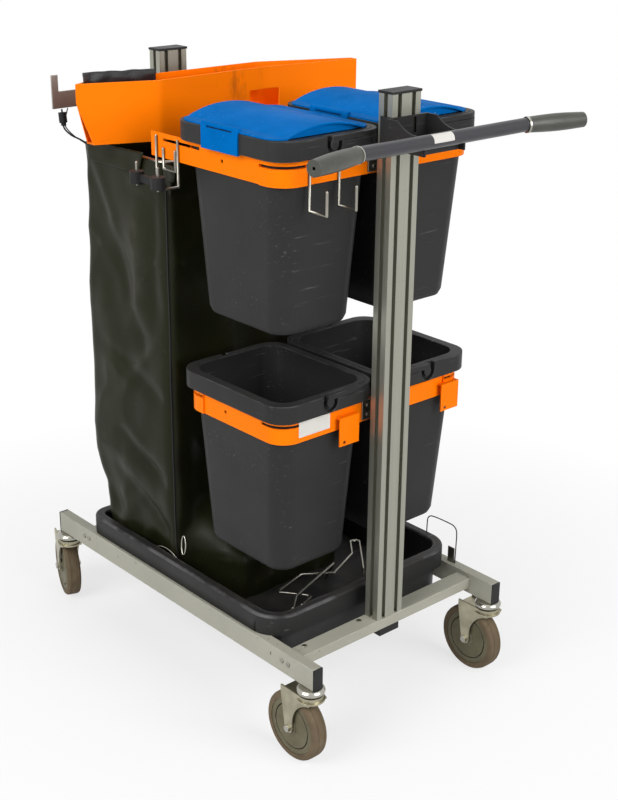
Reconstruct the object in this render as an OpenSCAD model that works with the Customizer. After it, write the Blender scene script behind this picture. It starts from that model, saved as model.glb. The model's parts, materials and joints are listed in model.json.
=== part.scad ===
// Janitor cart: a wheeled base with two slotted masts, two frames of lift-out bins with lids,
// a push handle with a console, a tool trough and a waste bag standing in the base tray.
// Millimetres, +Z up, floor at z = 0. X runs across the cart, Y along it, with the handle at -Y.
// The origin is on the floor under the middle of the overall box.
// Places along the cart are distances behind the front ends of the side rails.

/* [Base] */
// Length over the side rails and their end caps
base_l = 766; // [740:1:800]
// Width over the side rails
base_w = 454; // [448:1:470]
// Width of a rail tube
rail_w = 20; // [18:1:24]
// Height of a rail tube
rail_h = 40; // [36:1:48]
// Wall of the rail tubes and crossbars
rail_wall = 2; // [1.5:0.5:3]
// Thickness of a rail end cap
end_cap_t = 3; // [2:0.5:5]
// Length of the plug behind an end cap
end_plug_l = 14; // [8:1:20]
// Depth of a crossbar along the cart
cross_d = 32; // [28:1:36]
// Height of a crossbar
cross_h = 20; // [16:1:24]
// Step from the rail tops down to the crossbar tops
cross_drop = 8; // [4:1:12]

/* [Tray] */
// Rails showing outside the tray rim
tray_in = 6; // [3:1:10]
// Front of the tray rim
tray_front = 110; // [105:1:118]
// Height of the rim above the rails
tray_rim_h = 37; // [30:1:44]
// Depth of the tray below the rail tops
tray_drop = 50; // [40:1:56]
// Wall of the tray
tray_wall = 4; // [3:0.5:6]
// Radius of the front corners
tray_front_r = 55; // [40:1:70]
// Radius of the rear corners
tray_rear_r = 34; // [26:1:45]
// Space between the tray and the rails, crossbar and mast
tray_gap = 1; // [0.5:0.5:2]

/* [Casters] */
// Diameter of a wheel
wheel_d = 125; // [118:1:130]
// Space between a wheel and the fork crown
wheel_gap = 3.7; // [3:0.1:8]
// Width of a tyre
tyre_w = 28; // [24:1:30]
// Radial thickness of a tyre
tyre_t = 12; // [9:1:16]
// Rounding of the tyre shoulders
tyre_r = 6; // [3:1:8]
// Width of the hub boss
hub_w = 32; // [30:1:36]
// Diameter of the hub boss
boss_d = 26; // [22:1:30]
// Width of the raised ring round the hub faces
hub_ring_w = 9; // [6:0.5:10]
// Width of the groove inside that ring
hub_groove_w = 2; // [1.5:0.5:3]
// Depth of the groove
hub_groove = 5; // [3:1:7]
// Step from the tyre faces in to the hub faces
hub_step = 1; // [0.5:0.5:2]
// Diameter of the axle bolt
axle_d = 8; // [6:1:10]
// Height of the axle bolt head and nut
axle_head_h = 5; // [4:0.5:7]
// Width of the axle bolt head and nut past the bolt
axle_head_over = 5.6; // [4:0.2:7]
// Radius of the fork eye round the axle
leg_eye_r = 9; // [8:0.5:11]
// Space between a fork leg and the hub
leg_gap = 1; // [0.5:0.5:2]
// Thickness of a fork leg
fork_t = 3; // [2:0.5:4]
// Length of the fork crown past the swivel axis
crown_l = 54; // [50:1:58]
// Thickness of the fork crown
crown_t = 3; // [2:0.5:3]
// Diameter of the upper swivel ring
swivel_d = 48; // [44:1:54]
// Height of the upper swivel ring
swivel_h = 14; // [12:0.5:14]
// Diameter of the lower swivel ring
swivel_low_d = 42; // [38:1:44]
// Height of the lower swivel ring
swivel_low_h = 7; // [5:0.5:7]
// Diameter of the king pin
king_d = 12; // [10:1:14]
// Diameter of the king pin head past the pin
king_head_over = 6; // [4:1:8]
// Thickness of the king pin head
king_head_t = 3; // [2:0.5:3.5]
// Trail from the swivel axis to the axle
trail = 34; // [30:1:38]
// Swivel axis to the end of the rail
swivel_inset = 18; // [16:1:24]
// Turn of the rear casters from straight back
rear_turn = -20; // [-60:1:60]

/* [Masts] */
// Width of a mast
mast_w = 60; // [56:1:64]
// Depth of a mast
mast_d = 30; // [28:1:32]
// Height of the mast tops above the floor
mast_top = 1090; // [1080:1:1115]
// Middle of the front mast
mast_front = 72; // [66:1:74]
// Middle of the rear mast, ahead of the rear rail ends
mast_rear_inset = 99; // [92:1:110]
// Mouth of a slot
slot_w = 8; // [6:0.5:9]
// Lip beside a slot mouth
slot_lip = 2; // [1.5:0.5:3]
// Width of the slot chamber
slot_room = 13; // [11:0.5:13.5]
// Depth of a slot
slot_deep = 8; // [6:0.5:8]
// Distance between the two slots of a wide face
slot_pitch = 30; // [29:0.5:32]
// Diameter of the round cores
core_d = 7; // [5:0.5:8]
// Thickness of a mast cap
mast_cap_t = 4; // [3:0.5:6]
// Overhang of a mast cap
mast_cap_over = 1.5; // [0.5:0.5:3]
// Height of the foot block below a crossbar
foot_h = 13; // [8:1:16]
// Width of the foot block
foot_w = 46; // [36:1:56]

/* [Handle] */
// Diameter of the handle bar
bar_d = 22; // [20:1:25]
// Wall of the handle bar
bar_wall = 2; // [1.5:0.5:3]
// Height of the handle bar axis
handle_z = 1033; // [1025:1:1040]
// Straight bar ahead of the rail fronts
bar_ahead = 26; // [20:1:34]
// Length of the straight middle of the bar
bar_straight = 348; // [320:1:370]
// Sweep of the bar ends toward the user
bar_sweep = 14; // [8:1:20]
// Length of a swept bar end
bar_arm = 114; // [108:1:130]
// Length of a grip
grip_l = 104; // [90:1:104]
// Diameter at the middle of a grip
grip_d = 28; // [26.5:0.5:31]
// Diameter at the ends of a grip
grip_end_d = 24.5; // [24:0.5:26]
// Thickness of the closed end of a grip
grip_end_t = 3; // [2:0.5:5]
// Diameter of the vent hole in the end of a grip
grip_hole_d = 5; // [3:0.5:8]

/* [Console] */
// Width over the console walls
console_w = 88; // [80:1:96]
// Top of the console
console_top = 1056; // [1052:1:1065]
// Bottom of the console
console_bottom = 1011; // [1005:1:1013]
// Wall of the console
console_wall = 3; // [2:0.5:4]
// Thickness of the back plate on the mast
console_back = 4; // [3:0.5:6]
// Radius of the scooped side profile
console_scoop_r = 60; // [50:1:70]
// Lowest point of the scoop above the bar axis
console_scoop_z = 6; // [3:0.5:9]
// Length of the cheeks beside the mast
cheek_l = 23; // [16:1:28]
// Width of the vertical slot in the back plate
console_slot_w = 6; // [4:0.5:7]
// Height of the vertical slot
console_slot_h = 24; // [16:1:28]

/* [Bins] */
// Width over the two bins of a level
rack_w = 440; // [434:1:446]
// Gap between the rims of two bins
bin_gap = 8; // [7:0.5:12]
// Front of the bin rims
bin_front = 94; // [92:1:98]
// Length of a bin rim
bin_l = 268; // [260:1:280]
// Height of a bin
bin_h = 314; // [300:1:320]
// Height of the rim
rim_h = 31; // [31:0.5:34]
// Corner radius of the rim
rim_r = 38; // [32:1:44]
// Wall of a bin
bin_wall = 3; // [2.5:0.5:4]
// Corner radius of the bin body
body_r = 34; // [28:1:40]
// Lean of the bin sides
bin_draft_x = 14; // [8:1:20]
// Lean of the bin ends
bin_draft_y = 19; // [12:1:24]
// Rounding under the bin
bin_foot_r = 10; // [6:1:16]
// Rim top of the upper bins
upper_rim_top = 1034; // [1025:1:1040]
// Rim top of the lower bins
lower_rim_top = 617; // [605:1:625]

/* [Bails] */
// Width of the ledge that a bail lies in
ledge_w = 9; // [8:0.5:10]
// Height of a bail
bail_h = 9; // [7:0.5:9.5]
// Recess of a folded bail below the rim top
bail_recess = 0.5; // [0:0.5:1.5]
// Bail pivot below the rim top
pivot_drop = 14; // [13:0.5:14]
// Radius of the eye round the pivot
bail_eye_r = 8; // [7:0.5:9]
// Arm of a bail past the pivot
bail_heel = 5; // [3:0.5:5]
// Diameter of the pivot pin
bail_pin_d = 7; // [5:0.5:8]
// Length of the pivot pin
bail_pin_l = 5; // [4:0.5:6]
// Running clearance round a pivot or axle, on the diameter
run_fit = 0.1; // [0.04:0.02:0.18]
// Clearance between parts that pass each other
clear = 0.3; // [0.3:0.1:0.6]

/* [Lids] */
// Thickness of a lid
lid_t = 2.5; // [2:0.5:3]
// Space under a closed lid
lid_gap = 0.4; // [0.3:0.1:0.6]
// Rise of the arch over the flat flanges
lid_rise = 14.5; // [10:0.5:18]
// Outer radius of the arch
lid_arch_r = 215; // [200:1:240]
// Free edge of a lid to the rim edge
lid_edge = 14; // [13:0.5:16]
// Ends of a lid to the ends of the rim
lid_end = 13; // [12:0.1:14]
// Corner radius of a lid
lid_r = 30; // [26:1:32]
// Recess of the walls under the ends of the arch
lid_recess = 8; // [4:1:14]
// Hinge axis inside the rim edge
hinge_in = 2; // [1.5:0.5:3]
// Hinge axis above the rim top
hinge_up = 4.4; // [4.4:0.1:5]
// Radius of a hinge knuckle
knuckle_r = 3.8; // [3.4:0.1:3.8]
// Diameter of the hinge pin
hinge_pin_d = 3; // [2.5:0.5:4]
// Length of a hinge clip
clip_l = 90; // [70:1:110]
// Length of a clip knuckle
clip_knuckle_l = 14; // [10:1:18]
// Thickness of the clip plate
clip_t = 2.5; // [2:0.5:2.5]
// Hinge clip behind the middle of the bin
clip_shift = 8; // [0:1:14]
// Length of the thumb dimple
dimple_l = 30; // [20:1:40]
// Width of the thumb dimple
dimple_w = 10; // [8:1:12]
// Depth of the thumb dimple
dimple_t = 1; // [0.5:0.5:1.5]
// Thumb dimple to the free edge of the lid
dimple_in = 5; // [4:0.5:6]

/* [Frames] */
// Overhang of the bin rims past the frame bands
rim_over = 11; // [9:0.5:12]
// Thickness of a band
band_t = 2.5; // [2:0.5:3]
// Height of a band
band_h = 40; // [34:1:44]
// Space between a band and the bins
band_gap = 1; // [0.5:0.5:1.5]
// Corner radius of a band
band_r = 36; // [30:1:40]
// Upper frame arms past the rear of the band
arm_l = 81; // [74:1:86]
// Height of the long slots round the band corners
corner_slot_h = 5; // [4:0.5:7]
// Slot below the band top
corner_slot_drop = 10; // [8:1:14]
// Reach of a corner slot along each side
corner_slot_l = 48; // [44:1:56]
// Thickness of the corner pads
pad_t = 3; // [2:0.5:4]
// Length of a corner pad along each side
pad_l = 52; // [50:1:60]
// Diameter of the accessory holes in the band sides
side_hole_d = 6; // [5:0.5:8]
// Accessory holes behind the rail fronts
side_hole_y = 246; // [220:1:260]
// Width of a hook tab on the lower frame
tab_w = 43; // [36:1:48]
// Height of a hook tab
tab_h = 50; // [44:1:56]
// Reach of a hook tab
tab_reach = 10; // [9:0.5:12]
// Top of the hook tabs below the band top
tab_drop = 17; // [14:1:20]
// Middle of the left hook tab
tab_left = -69; // [-80:1:-62]
// Middle of the right hook tab
tab_right = 170; // [150:1:172]
// Hole in a hook tab
tab_hole_d = 6; // [5:0.5:8]
// Width of the bracket plate on the mast
bracket_w = 56; // [50:1:56]
// Width of the bracket plate on the band
flange_w = 68; // [60:1:76]
// Width of the bracket web
web_w = 18; // [14:1:18]
// Thickness of the bracket plates
bracket_t = 2.5; // [2:0.5:3]
// Bracket height
bracket_h = 34; // [30:1:34]

/* [Hooks] */
// Diameter of the hook wire
hook_d = 4.5; // [4:0.5:5]
// First front hook from the middle
front_hook_x1 = -155; // [-160:1:-150]
// Second front hook from the middle
front_hook_x2 = -95; // [-100:1:-85]
// Reach of the front hooks
front_hook_reach = 39; // [30:1:45]
// First side hook
side_hook_y1 = 357; // [345:1:365]
// Second side hook
side_hook_y2 = 415; // [405:1:420]
// Reach of the side hooks
side_hook_reach = 40; // [34:1:46]
// Top of the hooks below the band top
hook_start = 6; // [4:1:10]
// Bottom of the hooks below the band top
hook_low = 80; // [70:1:86]
// Height of a hook tip
hook_tip = 36; // [30:1:42]
// Outside diameter of a tool clip sleeve
sleeve_d = 24; // [18:1:28]
// Length of a tool clip sleeve
sleeve_l = 20; // [14:1:24]
// Height of the strip between the sleeves
strip_h = 12; // [8:1:14]
// Thickness of the strip
strip_t = 6; // [4:0.5:8]
// Front leg of the bag loops
loop_front = 364; // [360:1:372]
// Width of the bag loops
loop_w = 32; // [24:1:36]
// Drop of the bag loops below the arms
loop_drop = 16; // [10:1:22]
// Wire of a bag loop on the face of its arm
loop_hold = 16; // [10:1:20]

/* [Trough and carrier] */
// Top of the tool trough
trough_top = 1070; // [1060:1:1080]
// Height of the tool trough
trough_h = 102; // [90:1:104]
// Sheet of the tool trough
trough_t = 2.5; // [2:0.5:3]
// Left tip of the trough from the middle
trough_left = -276; // [-280:1:-265]
// Right tip of the trough from the middle
trough_right = 286; // [275:1:288]
// Depth of the trough from the left bend to the back wall
trough_depth = 64; // [56:1:70]
// Left bend of the front wall from the middle
trough_bend_left = -145; // [-155:1:-135]
// Right bend of the front wall from the middle
trough_bend_right = 93; // [80:1:100]
// Right bend of the front wall behind the left bend
trough_slant = 10; // [6:1:14]
// Left tip of the front wall behind the left bend
trough_tip_back = 50; // [42:1:54]
// Right tip of the front wall ahead of the left bend
trough_tip_ahead = 18; // [12:1:24]
// Width of the trough at its right tip
trough_tip_w = 14; // [10:1:18]
// Back wall of the trough behind the middle of the bag
trough_behind = 36; // [30:1:42]
// Bend of the back wall from the middle
trough_bend_back = 115; // [105:1:125]
// Length of the slanted left end of the trough
trough_end_l = 30; // [22:1:38]
// Height of the upright part of the left end
trough_end_h = 40; // [30:1:50]
// Slant of the left end below that part
trough_end_cut = 22; // [16:1:26]
// Radius of the trough bends
trough_bend_r = 35; // [25:1:45]
// Left edge of the trough window
window_x = 54; // [40:1:60]
// Width of the trough window
window_w = 66; // [50:1:76]
// Height of the trough window
window_h = 46; // [36:1:56]
// Window above the trough bottom
window_up = 17; // [12:1:24]
// Width of the carrier plate
carrier_w = 516; // [500:1:530]
// Height of the carrier plate
carrier_h = 29; // [26:1:34]
// Bottom of the carrier plate
carrier_z = 1012; // [1005:1:1015]
// Thickness of the carrier plate and arms
carrier_t = 3; // [2:0.5:4]
// Width of the upright finger
finger_w = 13; // [10:1:18]
// Height of the finger above the plate
finger_h = 28; // [20:1:34]
// Carrier arms from the middle
carrier_arm_x = 90; // [80:1:104]

/* [Bag] */
// Space between the bag and the tray walls
bag_side = 4; // [2:1:10]
// Front of the bag
bag_front = 412; // [408:1:420]
// Space between the bag and the rear mast
bag_behind = 24; // [20:1:34]
// Top of the bag
bag_top = 955; // [940:1:960]
// Wall of the bag
bag_wall = 2.5; // [2:0.5:4]
// Corner radius of the bag
bag_r = 34; // [26:1:40]
// Front of the slumped foot of the bag
bag_foot_front = 312; // [308:1:330]
// Height of the slumped foot
bag_foot_h = 112; // [90:1:120]
// Half the difference between the bag's width and its foot's
bag_foot_in = 12; // [11:1:20]
// Wire of the bag hoop
hoop_d = 8; // [6:1:9]
// Hoop axis below the bag top
hoop_drop = 8; // [6:1:14]
// Wire of the hoop hangers
hanger_d = 6; // [5:1:8]
// Diameter of the bag cord
cord_d = 3; // [2.5:0.5:4]
// Diameter of the cord lock
lock_d = 14; // [12:1:16]
// Length of the cord lock
lock_l = 18; // [14:1:22]
// Diameter of the cord lock button
button_d = 9; // [7:1:10]
// Travel of the cord lock button shown
button_l = 5; // [3:1:7]
// Cord on the carrier plate, from the plate's left end
cord_in = 18; // [14:1:26]
// Free cord below the cord lock
cord_free = 10; // [8:1:16]
// Lean of the cord toward the bag
cord_lean = 20; // [14:1:24]

/* [Small parts] */
// Diameter of the wire rack in the tray
rack_wire_d = 5; // [4:0.5:6]
// Height of the wire rack above the tray floor
rack_wire_h = 38; // [30:1:44]
// Diameter of the bolt heads
bolt_d = 10; // [8:1:11]
// Height of the bolt heads
bolt_h = 3.5; // [2.5:0.5:5]
// Diameter of the rivet heads
rivet_d = 8; // [6:0.5:9]
// Height of the rivet heads
rivet_h = 2; // [1.5:0.5:2.5]
// First screw on the front crossbar from the middle
cross_screw_x1 = -53; // [-60:1:-45]
// Second screw on the front crossbar from the middle
cross_screw_x2 = -179; // [-182:1:-160]
// Crossbar screws behind the middle of the crossbar
cross_screw_y = 6; // [0:1:8]

/* [Hidden] */
$fn = 64;
hull_fn = 32;
wire_fn = 24;
rack_fn = 10;
arch_fn = 256;
slab = 0.1;
over = 1;
wire_knot = 0.1;
// Right angle, for quarter bends
quarter = 90;

charcoal = [0.22, 0.22, 0.23];
orange = [1.0, 0.45, 0.05];
blue = [0.05, 0.42, 0.78];
aluminium = [0.72, 0.73, 0.74];
beige = [0.70, 0.69, 0.64];
zinc = [0.62, 0.63, 0.64];
rubber = [0.13, 0.13, 0.12];
tyre_brown = [0.36, 0.33, 0.30];
hub_grey = [0.74, 0.74, 0.72];
bag_cloth = [0.17, 0.17, 0.15];

// Heights of the base, on the casters
crown_bottom = wheel_d + wheel_gap;
crown_top = crown_bottom + crown_t;
swivel_z = crown_top + swivel_low_h + clear;
caster_h = swivel_z + swivel_h;
rail_top = caster_h + rail_h;
cross_top = rail_top - cross_drop;
cross_bottom = cross_top - cross_h;
rail_inner = base_w / 2 - rail_w;
mast_rear = base_l - mast_rear_inset;

// Handle ends and the place of the rail fronts
bar_end_ahead = bar_ahead + (bar_arm + grip_end_t) * sin(bar_sweep);
handle_reach = bar_end_ahead + grip_end_d / 2 * cos(bar_sweep);
rear_wheel = (trail + wheel_d / 2) * cos(rear_turn) + tyre_w / 2 * abs(sin(rear_turn));
rear_reach = base_l - swivel_inset + max(swivel_d / 2, rear_wheel);
rail_front_y = (handle_reach - rear_reach) / 2;

// Tray, hanging by its rim between the rails and ahead of the rear crossbar
tray_w = base_w - 2 * tray_in;
tray_body_half = rail_inner - tray_gap;
tray_over = tray_w / 2 - tray_body_half;
tray_rear = mast_rear - cross_d / 2 - tray_gap + tray_over;
tray_l = tray_rear - tray_front;
tray_mid = tray_front + tray_l / 2;
tray_bottom = rail_top - tray_drop;
tray_floor = tray_bottom + tray_wall;
tray_rim_top = rail_top + tray_rim_h;

// Casters
axle_z = wheel_d / 2;
king_head_d = king_d + king_head_over;
leg_in = hub_w / 2 + leg_gap;
leg_top = swivel_z - 2 * clear;
hub_d = wheel_d - 2 * tyre_t;
hub_groove_r = hub_d / 2 - hub_ring_w;
axle_head_d = axle_d + axle_head_over;

// Bins and bands
bin_w = (rack_w - bin_gap) / 2;
bin_x = (bin_w + bin_gap) / 2;
bin_mid = bin_front + bin_l / 2;
skirt = rim_over + band_t + band_gap;
cavity_in = skirt + bin_wall;
bail_w = ledge_w - 2 * clear;
pocket_r = norm([bail_heel, pivot_drop - bail_recess]) + 3 * clear;
band_w = rack_w - 2 * rim_over;
band_l = bin_l - 2 * rim_over;
band_front = bin_mid - band_l / 2;
band_rear = bin_mid + band_l / 2;
upper_band_top = upper_rim_top - rim_h - clear;
lower_band_top = lower_rim_top - rim_h - clear;
arm_rear = band_rear + arm_l;
band_side = band_w / 2;

// Lids, about the middle of their bin
lid_hinge_x = hinge_in - bin_w / 2;
lid_w = bin_w / 2 - lid_edge - lid_hinge_x;
lid_l = bin_l - 2 * lid_end;
lid_mid_x = lid_hinge_x + lid_w / 2;
lid_arch_half = sqrt(2 * lid_arch_r * lid_rise - lid_rise * lid_rise);
lid_knuckle_l = clip_l - 2 * clip_knuckle_l - 2 * clear;
dimple_x = bin_w / 2 - lid_edge - dimple_w / 2 - dimple_in;

// Hooks on the faces of the bands
front_hook_y = band_front - hook_d / 2;
side_hook_x = -band_side - hook_d / 2;

// Bag, between the tray walls and ahead of the rear mast
bag_w = 2 * (tray_body_half - tray_wall - bag_side);
bag_rear = mast_rear - mast_d / 2 - bag_behind;
bag_l = bag_rear - bag_front;
bag_mid = bag_front + bag_l / 2;

// Trough outline over the bag, front wall then back wall
trough_bottom = trough_top - trough_h;
trough_back = bag_mid + trough_behind;
trough_front = trough_back - trough_depth;
trough_tip_left = [trough_left, trough_front + trough_tip_back];
trough_turn_left = [trough_bend_left, trough_front];
trough_turn_right = [trough_bend_right, trough_front + trough_slant];
trough_tip_right = [trough_right, trough_front - trough_tip_ahead];
trough_tip_rear = trough_tip_right + [0, trough_tip_w];
trough_turn_back = [trough_bend_back, trough_back];
trough_end_back = [trough_left + trough_end_l, trough_back];
trough_front_points = concat(
    [trough_tip_left],
    bend(trough_tip_left, trough_turn_left, trough_turn_right, trough_bend_r),
    bend(trough_turn_left, trough_turn_right, trough_tip_right, 3 * trough_bend_r),
    [trough_tip_right]);
trough_back_points = concat(
    [trough_tip_rear],
    bend(trough_tip_rear, trough_turn_back, trough_end_back, trough_bend_r),
    [trough_end_back]);

// Bag carrier and hoop
carrier_rear = mast_rear - mast_d / 2;
carrier_front = carrier_rear - carrier_t;
carrier_mid_z = carrier_z + carrier_h / 2;
hoop_z = bag_top - hoop_drop;
hoop_in = bag_wall + hoop_d / 2 + clear;
hoop_w = bag_w - 2 * hoop_in;
hoop_front = bag_front + hoop_in;
hoop_rear = bag_rear - hoop_in;
hoop_r = bag_r - hoop_in;
bag_bottom = tray_floor + clear;

// Cord from the carrier plate to the bag, and where its lock sits
cord_x = cord_in - carrier_w / 2;
cord_drop = lock_l + button_l + cord_free;
cord_points = [
    [cord_x, carrier_rear - carrier_t / 2, carrier_z - (cord_d + wire_knot) / 2],
    [cord_x, carrier_front - cord_d, carrier_z - cord_drop],
    [cord_x + cord_lean, carrier_front - cord_lean, carrier_z - cord_drop - cord_lean],
    [-bag_w / 2 - cord_d / 2, bag_rear - bag_r - cord_d, hoop_z]];
lock_place = 0.45;

// Wire rack on the tray floor
rack_floor = tray_floor + rack_wire_d / 2 * cos(180 / rack_fn);
rack_top = rack_floor + rack_wire_h;
rack_low_points = [
    [-112, 165, rack_floor], [-94, 181, rack_top], [-64, 192, rack_top], [-63, 200, rack_top],
    [-94, 240, rack_top], [-91, 247, rack_top], [-22, 266, rack_top], [28, 230, rack_top],
    [104, 263, rack_top], [136, 302, rack_top], [148, 298, rack_top], [149, 290, rack_top],
    [82, 209, rack_top], [78, 196, rack_floor]];
rack_over = rack_top + rack_wire_d + clear;
rack_high_points = [
    [-124, 172, rack_floor], [-120, 176, rack_over], [-87, 205, rack_over],
    [44, 250, rack_over], [52, 278, rack_floor]];

// Casters: name, side, distance behind the rail fronts, turn of the fork
CASTERS = [
    ["front_left", -1, swivel_inset, 0],
    ["front_right", 1, swivel_inset, 0],
    ["rear_left", -1, base_l - swivel_inset, rear_turn],
    ["rear_right", 1, base_l - swivel_inset, -rear_turn]];

// Bins: name, side, rim top, side that the bail folds to
BINS = [
    ["upper_left", -1, upper_rim_top, 1],
    ["upper_right", 1, upper_rim_top, 1],
    ["lower_left", -1, lower_rim_top, 1],
    ["lower_right", 1, lower_rim_top, -1]];

// Points of an arc of radius r that rounds the corner b between a and c
function bend(a, b, c, r, steps = 5) =
    let (u = (a - b) / norm(a - b), v = (c - b) / norm(c - b))
    let (half = acos(u * v) / 2, bisector = (u + v) / norm(u + v))
    let (centre = b + bisector * r / sin(half), start = b + u * r / tan(half) - centre)
    let (turn = cross(u, v) > 0 ? half - quarter : quarter - half)
    [for (i = [0 : steps]) let (t = 2 * turn * i / steps)
        centre + [start[0] * cos(t) - start[1] * sin(t), start[0] * sin(t) + start[1] * cos(t)]];

// Outline of the same points, each moved in by d
function inset(points, d) =
    [for (i = [0 : len(points) - 1])
        let (n = len(points), p = points[i])
        let (u = p - points[(i + n - 1) % n], v = points[(i + 1) % n] - p)
        let (a = u / norm(u), b = v / norm(v))
        p + d / (1 + a * b) * [-a[1] - b[1], a[0] + b[0]]];

// Shared shapes

// Moves a shape from the rail fronts to its place about the origin
module from_rail_front() {
    translate([0, rail_front_y, 0]) children();
}

// Rounded rectangle about the middle
module rounded(w, l, r) {
    square([w - 2 * r, l], center = true);
    square([w, l - 2 * r], center = true);
    for (sx = [-1, 1], sy = [-1, 1])
        translate([sx * (w / 2 - r), sy * (l / 2 - r)]) circle(r);
}

// Thin rounded slab that a hull is stretched over
module rounded_slab(w, l, r, z) {
    translate([0, 0, z])
        linear_extrude(slab) rounded(w, l, r, $fn = hull_fn);
}

// Turns Z along a direction
module facing(v) {
    rotate([0, acos(v[2] / norm(v)), atan2(v[1], v[0])]) children();
}

// Straight round bar between two points
module rod(p, q, d) {
    translate(p) facing(q - p) cylinder(h = norm(q - p), d = d, $fn = wire_fn);
}

// Round wire through a list of points in slanting directions, from flat faces
module faceted_wire(points, d) {
    for (i = [0 : len(points) - 2])
        hull() for (p = [points[i], points[i + 1]])
            translate(p) sphere(d = d, $fn = rack_fn);
}

// Round wire through a list of points
module wire(points, d) {
    for (i = [0 : len(points) - 2])
        rod(points[i], points[i + 1], d);
    for (p = points)
        translate(p) sphere(d = d + wire_knot, $fn = wire_fn);
}

// Round bar across the cart, or along it, about its middle
module bar_x(d, l) {
    rotate([0, quarter, 0]) cylinder(h = l, d = d, center = true);
}

module bar_y(d, l) {
    rotate([quarter, 0, 0]) cylinder(h = l, d = d, center = true);
}

// Base

module rail(side) {
    color(beige) from_rail_front()
        translate([side * (base_w - rail_w) / 2, base_l / 2, caster_h + rail_h / 2])
            difference() {
                cube([rail_w, base_l - 2 * end_cap_t, rail_h], center = true);
                cube([rail_w - 2 * rail_wall, base_l + over, rail_h - 2 * rail_wall], center = true);
            }
}

module rail_caps() {
    color(rubber) from_rail_front()
        for (side = [-1, 1], rear = [0, 1])
            translate([side * (base_w - rail_w) / 2, rear * base_l, caster_h + rail_h / 2])
                rotate([0, 0, 180 * rear]) {
                    translate([0, end_cap_t / 2, 0])
                        cube([rail_w, end_cap_t, rail_h], center = true);
                    translate([0, end_cap_t + end_plug_l / 2, 0])
                        cube([rail_w - 2 * rail_wall, end_plug_l, rail_h - 2 * rail_wall], center = true);
                }
}

module crossbar(y) {
    color(beige) from_rail_front()
        translate([0, y, cross_top - cross_h / 2])
            difference() {
                cube([2 * rail_inner, cross_d, cross_h], center = true);
                cube([base_w, cross_d - 2 * rail_wall, cross_h - 2 * rail_wall], center = true);
            }
}

// Plan of the tray, drawn in from the rim by inset
module tray_plan(inset) {
    w = tray_w - 2 * inset;
    l = tray_l - 2 * inset;
    front_r = tray_front_r - inset;
    rear_r = tray_rear_r - inset;
    translate([-w / 2, front_r - l / 2]) square([w, l - front_r - rear_r]);
    translate([front_r - w / 2, -l / 2]) square([w - 2 * front_r, l / 2]);
    translate([rear_r - w / 2, 0]) square([w - 2 * rear_r, l / 2]);
    for (sx = [-1, 1]) {
        translate([sx * (w / 2 - front_r), front_r - l / 2]) circle(front_r);
        translate([sx * (w / 2 - rear_r), l / 2 - rear_r]) circle(rear_r);
    }
}

module base_tray() {
    color(charcoal) from_rail_front()
        difference() {
            translate([0, tray_mid, 0])
                difference() {
                    union() {
                        translate([0, 0, rail_top]) linear_extrude(tray_rim_h) tray_plan(0);
                        translate([0, 0, tray_bottom])
                            linear_extrude(tray_drop + tray_wall) tray_plan(tray_over);
                    }
                    translate([0, 0, tray_floor])
                        linear_extrude(tray_rim_top) tray_plan(tray_over + tray_wall);
                }
            // Room for the rear mast
            translate([0, mast_rear, rail_top + tray_rim_h / 2])
                cube([mast_w + 2 * tray_gap, mast_d + 2 * tray_gap, tray_rim_h + over], center = true);
        }
}

// Masts

module slot() {
    translate([0, -slot_deep / 2 + over / 2]) square([slot_w, slot_deep + over], center = true);
    translate([0, -(slot_deep + slot_lip) / 2])
        square([slot_room, slot_deep - slot_lip], center = true);
}

module mast_section() {
    difference() {
        square([mast_w, mast_d], center = true);
        for (turn = [0, 180]) rotate(turn) {
            for (sx = [-1, 1])
                translate([sx * slot_pitch / 2, mast_d / 2]) slot();
            translate([mast_w / 2, 0]) rotate(-quarter) slot();
        }
        for (sx = [-1, 1])
            translate([sx * slot_pitch / 2, 0]) circle(d = core_d);
    }
}

module mast(y) {
    color(aluminium) from_rail_front()
        translate([0, y, cross_top])
            linear_extrude(mast_top - cross_top) mast_section();
}

module mast_end_pieces() {
    color(rubber) from_rail_front()
        for (y = [mast_front, mast_rear]) {
            translate([0, y, mast_top + mast_cap_t / 2])
                cube([mast_w + 2 * mast_cap_over, mast_d + 2 * mast_cap_over, mast_cap_t], center = true);
            translate([0, y, cross_bottom - foot_h / 2])
                cube([foot_w, cross_d, foot_h], center = true);
        }
}

// Casters, about the swivel axis with the wheel trailing toward +Y

module at_caster(c) {
    from_rail_front()
        translate([c[1] * (base_w - rail_w) / 2, c[2], 0])
            rotate([0, 0, c[3]]) children();
}

module caster_head(c) {
    color(zinc) at_caster(c) {
        translate([0, 0, swivel_z]) cylinder(h = swivel_h, d = swivel_d);
        translate([0, 0, crown_bottom - clear]) cylinder(h = swivel_z + clear - crown_bottom, d = king_d);
        translate([0, 0, crown_bottom - clear - king_head_t]) cylinder(h = king_head_t, d = king_head_d);
    }
}

module caster_fork(c) {
    color(zinc) at_caster(c) difference() {
        union() {
            translate([0, 0, crown_top]) cylinder(h = swivel_low_h, d = swivel_low_d);
            translate([0, 0, crown_bottom]) linear_extrude(crown_t) {
                circle(d = swivel_d);
                translate([-leg_in - fork_t, 0]) square([2 * (leg_in + fork_t), crown_l]);
            }
            for (sx = [-1, 1])
                translate([sx * (leg_in + fork_t / 2), 0, 0])
                    rotate([quarter, 0, quarter])
                        linear_extrude(fork_t, center = true) fork_leg();
        }
        translate([0, 0, crown_bottom - over]) cylinder(h = 2 * swivel_h, d = king_d + run_fit);
        translate([0, trail, axle_z]) bar_x(axle_d + run_fit, 4 * leg_in);
    }
}

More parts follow.
